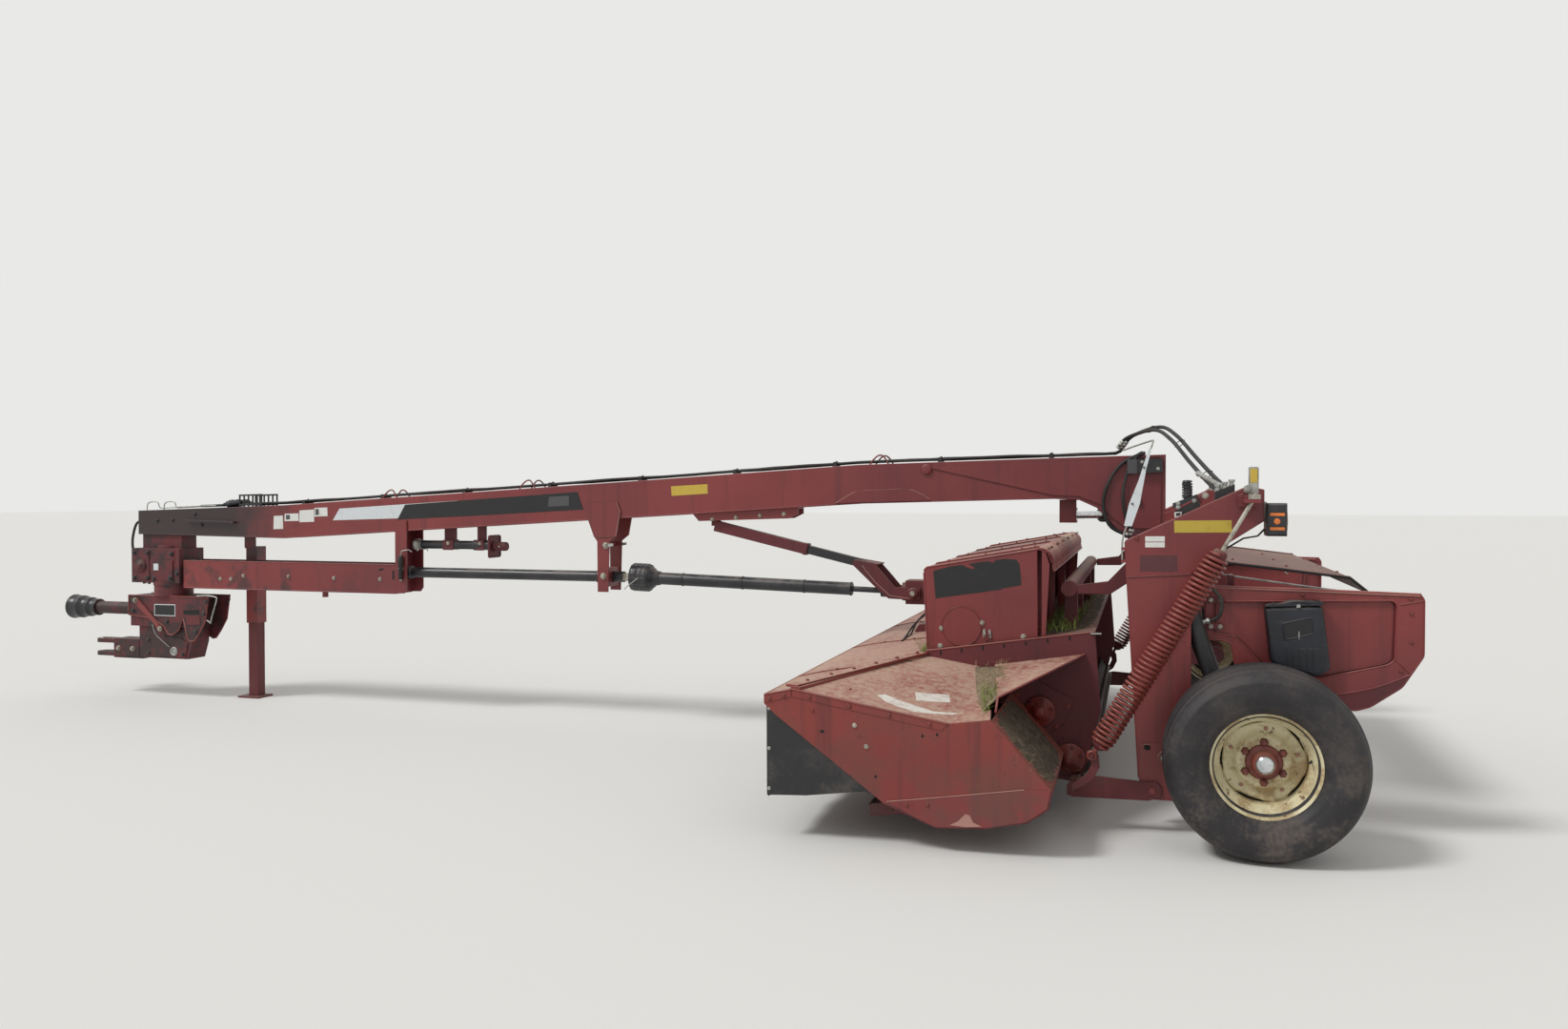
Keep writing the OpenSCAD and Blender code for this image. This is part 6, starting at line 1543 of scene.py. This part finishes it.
def makeHitchTrim():
    s = hitchSizes
    upper = Shape("upperHitchTrim", hitchRed)
    for side in (left, right):
        y = side * s["upperFace"]
        out = (0, side, 0)
        upper.use(hitchRed).plate([(-6921, 850), (-6921, 1004), (-6734, 1006), (-6734, 852)], y, y + side * 7)
        upper.plate(roundedCorners([(-7096, 858), (-7096, 1072), (-6948, 1076), (-6948, 858)], 16), y, y + side * 4)
        upper.lathe([(46, 0), (46, 8), (40, 12), (22, 14), (22, 20), (8, 22)], at(-7022, y + side * 4, 962), out, 36)
        boltRow(upper, [(x, y + side * 4, z) for x in (-7082, -6962) for z in (874, 1058)], out, s["boltAcross"],
            greyBlack)
        boltRow(upper, [(-6745, y + side * 7, 1052), (-6756, y + side * 7, 876), (-6900, y + side * 7, 870),
            (-6700, y, 910)], out,
                s["boltAcross"], greyBlack)
        upper.use(blankPale).plate([(-6899, 932), (-6899, 980), (-6857, 980), (-6857, 932)], y + side * 7,
            y + side * 13)
        for x, z in ((-7060, 1088), (-6720, 1088)):
            bead(upper, hitchRed, [(x, side * 112, z - 244), (x, side * 112, z - 4)], 6)
    for k in range(10):  # flange bolts round the swivel
        a = 2 * math.pi * (k + 0.5) / 10
        boltRow(upper, [(-s["x"] + 116 * math.cos(a), 116 * math.sin(a), 841)], (0, 0, -1), 18, greyBlack, False)
    upper.use(greyBlack)
    upper.lathe([(36, 0), (60, 6), (60, 20), (44, 26), (40, 60), (34, 62)], at(-6680, 0, 950), (1, 0, 0), 32)
    upper.use(hoseRubber)
    for k in (-1, 1):  # hoses that run down from the beam's open front
        drop = curveThrough([at(-7070, 40 * k, 1290), at(-7130, 46 * k, 1270), at(-7152, 60 * k, 1180),
            at(-7132, 84 * k, 1100),
                             at(-7104, 90 * k, 1060)], 5)
        upper.sweep(drop, 9, 10)
    upper.finish("tongue", "oxide_red")

    lower = Shape("lowerHitchTrim", hitchRed)
    for side in (left, right):
        y = side * s["lowerFace"]
        out = (0, side, 0)
        bead(lower, machineRed, [(x, y, z) for x, z in hitchPlate + hitchPlate[:1]], 5)
        # Blank data plate in its pale frame, the slot and the ribbed field beside it. The slot is a dark sheet that
        # paints the shade inside it.
        lower.use(blankPale).plate([(-6917, 600), (-6916, 684), (-6727, 686), (-6727, 600)], y, y + side * 1.2)
        lower.use(blankBlack).plate([(-6911, 606), (-6910, 678), (-6733, 680), (-6733, 606)], y + side * 1.2,
            y + side * 2)
        lower.use(holeShade).plate([(-6655, 616), (-6655, 645), (-6516, 651), (-6514, 622)], y, y + side * 0.8)
        lower.use(shadeRed).plate(roundedCorners([(-6630, 540), (-6630, 606), (-6506, 612), (-6506, 546)], 9), y,
            y + side * 3)
        boltRow(lower, [(-6451, y, 712), (-6470, y, 627), (-6804, y, 560), (-6545, y, 494), (-7110, y, 712),
            (-7110, y, 630)], out,
                s["boltAcross"], greyBlack)
        # Diagonal strut with its eyes.
        lower.use(machineRed)
        lower.plate([(-7104, 700), (-7066, 728), (-6885, 560), (-6838, 500), (-6866, 484), (-6920, 548)], y + side * 2,
            y + side * 12)
        boltRow(lower, [(-7080, y + side * 12, 708), (-6856, y + side * 12, 506)], out, 24)
        face = side * s["footFace"]
        lower.use(galvanised)
        ring = [at(-6760 + 26 * math.cos(a), face + side * 7,
            342 + 26 * math.sin(a)) for a in (2 * math.pi * k / 28 for k in range(29))]
        lower.sweep(ring, 7, 10)
        lower.lathe([(20, -2), (20, 6), (13, 9), (2, 10)], at(-6760, face, 342), out, 24)
        chain = curveThrough([at(-6930, y + side * 6, 536), at(-6900, y + side * 10, 470), at(-6862, y + side * 2, 430),
                              at(-6800, face + side * 8, 372)], 6)
        lower.sweep(chain, 3, 6)
        lower.use(hitchRed).plate([(-7010, 300), (-7010, 440), (-6860, 452), (-6700, 440), (-6640, 400), (-6660, 300)],
            face,
                                  face + side * 6)
        boltRow(lower, [(-6990, face + side * 6, 325), (-6990, face + side * 6, 420), (-6680, face + side * 6, 325)],
            out, 20, greyBlack)
    # Wire latch at the rear of the plates.
    latch = curveThrough([at(x, -118, z) for x, z in ((-6520, 752), (-6440, 757), (-6362, 750), (-6350, 728),
        (-6394, 600), (-6402, 559))], 5)
    lower.use(galvanised).sweep(latch, 5, 8)
    bead(lower, galvanised, [(-6402, -118, 562), (-6440, -110, 580)], 5)
    # Input guard: ribs, lip and the flange that holds it.
    cone = at(-7535, 0, 636)
    lower.use(guardPlastic)
    lower.lathe([(59, -4), (62, 0), (62, 8), (60, 12), (66, 60), (70, 62), (72, 70), (70, 76), (78, 140), (82, 142),
        (84, 150), (82, 156),
                 (86, 218), (90, 224), (90, 234), (85, 235), (81, 226), (52, 6)], cone, (-1, 0, 0), 48, True, False)
    lower.use(greyBlack).lathe([(72, 0), (78, 4), (78, 22), (70, 28), (54, 32)], at(-7158, 0, 636), (-1, 0, 0), 40)
    for k in range(6):
        a = 2 * math.pi * k / 6
        boltRow(lower, [(-7186, 62 * math.cos(a), 636 + 62 * math.sin(a))], (-1, 0, 0), 16, boltSteel, False)
    # Clevis: bare pin bushes and its locking plate.
    for z in (293, 389):
        lower.use(boltSteel).lathe([(30, 0), (40, 0), (40, 4), (30, 4), (30, 0)],
            at(-7480, 0, z - 12 if z < 340 else z + 18), (0, 0, 1), 32,
                                   True, False)
    for side in (left, right):
        lower.use(hitchRed).plate([(-7320, 290), (-7320, 400), (-7090, 405), (-7090, 290)], side * 70, side * 76)
        boltRow(lower, [(-7280, side * 76, 345), (-7150, side * 76, 345)], (0, side, 0), 24)
    lower.finish("hitch", "oxide_red")


# Plastic guards, collars and crosses of the drive line.
def makeShaftTrim():
    front = Shape("frontShaftTrim", guardPlastic)
    for x in (-6560, -4846, -3420):
        front.lathe([(36, 0), (42, 3), (44, 10), (44, 34), (40, 40), (36, 42)], at(x, 0, 950), (1, 0, 0), 32)
    front.use(boltSteel)
    front.lathe([(20, 0), (30, 4), (30, 22), (22, 26)], at(-3305, 0, 950), (1, 0, 0), 28)
    for side in (left, right):  # yoke's ears and cross on the shaft's rear end
        front.use(boltSteel).plate([(-3240, 930), (-3240, 970), (-3176, 978), (-3156, 966), (-3156, 934), (-3176, 922)],
            side * 18, side * 28)
        front.lathe([(11, -2), (11, 12), (8, 14)], at(-3172, side * 20, 950), (0, side, 0), 16)
    front.finish("tongue", "black_plastic")
    rear = Shape("rearShaftTrim", guardPlastic)
    start, end = at(-3130, 0, 950), at(-1470, 0, 900)
    along = (end - start).normalized()
    rear.lathe([(62, -40), (86, -36), (88, -24), (86, -8), (88, -4), (88, 6), (85, 10), (88, 30), (88, 40), (84, 46),
        (88, 62), (86, 80),
                (74, 90), (60, 112), (48, 120), (44, 150), (40, 154)], start, along, 48)
    for k in range(12):
        a = 2 * math.pi * k / 12
        spin = along.to_track_quat("Z", "Y") @ Vector((math.cos(a), math.sin(a), 0))
        rear.sweep([start + along * -0.034 + spin * 0.087, start + along * 0.078 + spin * 0.087], 3, 6)
    for reach in (300, 700, 1100, 1395):
        rear.lathe([(39, 0), (42, 2), (42, 12), (39, 14)], start + along * reach / 1000, along, 32)
    rear.use(galvanised)
    chain = curveThrough([start + along * 0.03 + Vector((0, -0.088, 0)),
        start + along * -0.03 + Vector((0, -0.10, -0.05)),
                          start + along * -0.06 + Vector((0, -0.088, -0.075))], 6)
    rear.sweep(chain, 3, 6)
    rear.finish("shaft_outer", "black_plastic")


# Swivel gearbox on the header: flange bolts, ribs, pin and the dark inner link.
def makeSwivelTrim():
    shape = Shape("swivelTrim", shadeRed)
    for k in range(8):
        a = 2 * math.pi * (k + 0.5) / 8
        boltRow(shape, [(-1120 + 110 * math.cos(a), 110 * math.sin(a), 990)], (0, 0, 1), 20, boltSteel, False)
    shape.use(shadeRed).lathe([(92, 0), (96, 3), (96, 14), (90, 18)], at(-1120, 0, 1000), (0, 0, 1), 40)
    shape.use(galvanised).lathe([(34, 0), (34, 12), (26, 16), (4, 17)], at(-1120, 0, 1020), (0, 0, 1), 28)
    for side in (left, right):
        out = (0, side, 0)
        shape.use(shadeRed).lathe([(34, 0), (34, 6), (26, 10)], at(-1330, side * 92, 896), out, 28)
        boltRow(shape, [(-1330, side * 99, 896)], out, 30)
        boltRow(shape, [(-1200, side * 92, 905), (-1250, side * 92, 890)], out, 16, springRed)
        bead(shape, worn, [(-1640, side * 92, 1056), (-1560, side * 92, 960), (-1470, side * 92, 880),
            (-1330, side * 92, 862)], 2.4, 6)
    # Lower, dark part of the telescoping link, with its stop collar and bolts.
    begin, finish = at(-1640, 0, 1060), at(-2600, 0, 1284)
    reach = finish - begin
    across = Vector((0, 1, 0))
    up = reach.cross(across).normalized()
    if up.z < 0:
        up = -up
    square = [(a, b) for a, b in ((-25, -25), (25, -25), (25, 25), (-25, 25))]
    rings = [[begin + reach * t + across * a / 1000 + up * b / 1000 for a, b in square] for t in (0.03, 0.375)]
    shape.use(greyBlack).skin(rings, True, False)
    collar = [[begin + reach * t + across * a * k / 1000 + up * b * k / 1000 for a, b in square] for t, k in
              ((0.372, 1.3), (0.376, 1.42), (0.394, 1.42), (0.398, 1.3))]
    shape.use(shadeRed).skin(collar, True, False)
    shape.finish("swivel", "dark_red")


makeHitchTrim()
makeShaftTrim()
makeSwivelTrim()
print("hitch and drive line dressed")


# Cylinders, wheel arms and discs

cylinderSizes = {"liftTop": (160, 980), "liftFoot": (335, 460), "liftY": 1548, "liftRadius": 32, "swingBase": (60, 800),
                 "swingLug": (-450, 110), "swingZ": 1360, "swingRadius": 40}


def makeCylinderTrim():
    s = cylinderSizes
    for side, word in ((left, "Left"), (right, "Right")):
        shape = Shape(f"liftTrim{word}", boltSteel)
        top = at(s["liftTop"][0], side * s["liftY"], s["liftTop"][1])
        foot = at(s["liftFoot"][0], side * s["liftY"], s["liftFoot"][1])
        down = (foot - top).normalized()
        r = s["liftRadius"]
        shape.use(greyBlack)
        shape.lathe([(r - 1, 0), (r + 4, 1), (r + 4, 26), (r - 1, 28)], top + down * 0.364, down, 32)
        shape.lathe([(r - 1, 0), (r + 3, 2), (r + 3, 14), (r - 1, 16)], top + down * 0.030, down, 32)
        port = top + down * 0.07 + Vector((0.030, 0, 0.010))
        shape.use(galvanised).lathe([(12, 0), (12, 10), (9, 12), (9, 20), (14, 21), (14, 32), (9, 34)], port,
            (0.96, 0, 0.28), 6, False)
        hose = curveThrough([port + Vector((0.032, 0, 0.009)), port + Vector((0.07, 0, 0.03)),
            port + Vector((0.08, 0, 0.10)),
                             port + Vector((0.04, 0, 0.15))], 6)
        shape.use(hoseRubber).sweep(hose, 8, 10)
        shape.use(boltSteel).lathe([(16, 0), (16, 6), (12, 8)], top + Vector((0, side * 0.034, 0)), (0, side, 0), 20)
        shape.finish(f"lift_{word.lower()}_barrel", "black_metal")
        arm = Shape(f"armTrim{word}", shadeRed)
        for x, z, across in ((60, 340, 44), (335, 460, 34)):
            for face in (1518, 1578):
                out = (0, side if face > 1548 else -side, 0)
                arm.use(shadeRed).lathe([(across, 0), (across, 5), (across - 6, 8), (10, 9)], at(x, side * face, z),
                    out, 32)
                boltRow(arm, [(x, side * (face + (9 if face > 1548 else -9)), z)], out, 28)
        bead(arm, shadeRed, [(96, side * 1579, 372), (300, side * 1579, 470)], 4, 6)
        arm.finish(f"arm_{word.lower()}", "dark_red")
    shape = Shape("swingTrim", greyBlack)
    base = at(*s["swingBase"], s["swingZ"])
    lug = at(*s["swingLug"], s["swingZ"])
    along = (lug - base).normalized()
    r = s["swingRadius"]
    for reach, length in ((0.030, 14), (0.526, 30)):
        shape.lathe([(r - 1, 0), (r + 4, 1), (r + 4, length), (r - 1, length + 2)], base + along * reach, along, 36)
    for reach in (0.075, 0.480):
        port = base + along * reach + Vector((0, 0, r / 1000 - 0.002))
        shape.use(galvanised).lathe([(13, 0), (13, 10), (10, 12), (10, 20), (14, 21), (14, 32), (9, 34)], port,
            (0, 0, 1), 6, False)
        hose = curveThrough([port + Vector((0, 0, 0.032)), port + Vector((0.004, 0.006, 0.060)),
            port + Vector((0.03, 0.05, 0.075)),
                             port + Vector((0.045, 0.065, 0.060))] if reach < 0.2 else
                            [port + Vector((0, 0, 0.032)), port + Vector((0.01, 0.014, 0.058)),
                            port + along * -0.15 + Vector((0, 0, 0.062)),
                             port + along * -0.36 + Vector((0, 0, 0.050))], 6)
        shape.use(hoseRubber).sweep(hose, 8, 10)
    shape.finish("swing_cylinder_barrel", "black_metal")


# Each disc's hub and the four bolts on it.
def makeCutterTrim():
    tilt = math.radians(9)
    normal = Vector((-math.sin(tilt), 0, math.cos(tilt)))
    ahead = Vector((-math.cos(tilt), 0, -math.sin(tilt)))
    for k in range(10):
        centre = at(-1000, (k - 4.5) * 396, 150)
        shape = Shape(f"cutterTrim{k + 1}", boltSteel)
        body = nodes[f"disc_{k + 1}"]
        tops = [body.matrix_world @ v.co for v in body.data.vertices]
        rise = max((p - centre).dot(normal) for p in tops) * 1000
        shape.lathe([(58, -1), (58, 4), (50, 8), (26, 9), (26, 16), (20, 19), (4, 20)], centre + normal * rise / 1000,
            normal, 32)
        for i in range(4):
            a = math.pi / 2 * i + 0.785
            spot = centre + normal * (rise + 8) / 1000 + (ahead * math.cos(a) + Vector((0, 1, 0)) * math.sin(a)) * 0.040
            shape.use(boltSteel).lathe([(8, 0), (8, 7), (6, 8)], spot, normal, 6, False)
        shape.finish(f"cutter_{k + 1}", "disc_steel")


makeCylinderTrim()
makeCutterTrim()
print("cylinders and discs dressed")


# Camera, light and floor

cameraSizes = {"focus": 1235, "frameWidth": 1645, "across": -30, "back": -6950, "height": 1475, "turn": 17, "dip": 0.93}
stageTones = {"floor": "#dcdbd7", "back": "#e9e9e7", "skyLight": 0.62, "sunLight": 1.75, "sunTurn": (38, -18, -28)}


def makeCamera():
    c = cameraSizes
    camera = bpy.data.objects.new("photoCamera", bpy.data.cameras.new("photoCamera"))
    camera.data.sensor_width = 36
    camera.data.lens = 36 * c["focus"] / c["frameWidth"]
    camera.data.clip_end = 300
    camera.location = at(c["across"], c["back"], c["height"])
    turn = math.radians(c["turn"])
    dip = math.radians(c["dip"])
    ahead = Vector((-math.sin(turn) * math.cos(dip), math.cos(turn) * math.cos(dip), -math.sin(dip)))
    camera.rotation_euler = ahead.to_track_quat("-Z", "Y").to_euler()
    bpy.context.scene.collection.objects.link(camera)
    bpy.context.scene.camera = camera


def makeStage():
    s = stageTones
    mesh = bpy.data.meshes.new("floor")
    mesh.from_pydata([(-90, -90, 0), (90, -90, 0), (90, 90, 0), (-90, 90, 0)], [], [(0, 1, 2, 3)])
    floor = bpy.data.objects.new("floor", mesh)
    f = Finish("floorPale")
    mesh.materials.append(f.surface({"Base Color": tone(s["floor"]), "Roughness": 0.9}))
    bpy.context.scene.collection.objects.link(floor)
    sun = bpy.data.objects.new("softSun", bpy.data.lights.new("softSun", "SUN"))
    sun.data.energy = s["sunLight"]
    sun.data.angle = math.radians(14)
    sun.rotation_euler = [math.radians(a) for a in s["sunTurn"]]
    bpy.context.scene.collection.objects.link(sun)
    world = bpy.data.worlds.new("paleRoom")
    bpy.context.scene.world = world
    world.use_nodes = True
    air = Finish("air", world.node_tree)
    rays = air.node("ShaderNodeLightPath")
    seen = rays.output("Is Camera Ray") + rays.output("Is Transmission Ray") + rays.output("Is Glossy Ray")
    dim = air.node("ShaderNodeBackground", None, {"Color": (1, 1, 1, 1), "Strength": s["skyLight"]})
    pale = air.node("ShaderNodeBackground", None, {"Color": tone(s["back"])})
    mixed = air.node("ShaderNodeMixShader", None, {0: seen.smooth(0, 1), 1: dim, 2: pale})
    air.node("ShaderNodeOutputWorld", None, {"Surface": mixed})


makeCamera()
makeStage()
bpy.context.scene.view_settings.view_transform = "Standard"
print("camera and stage made")
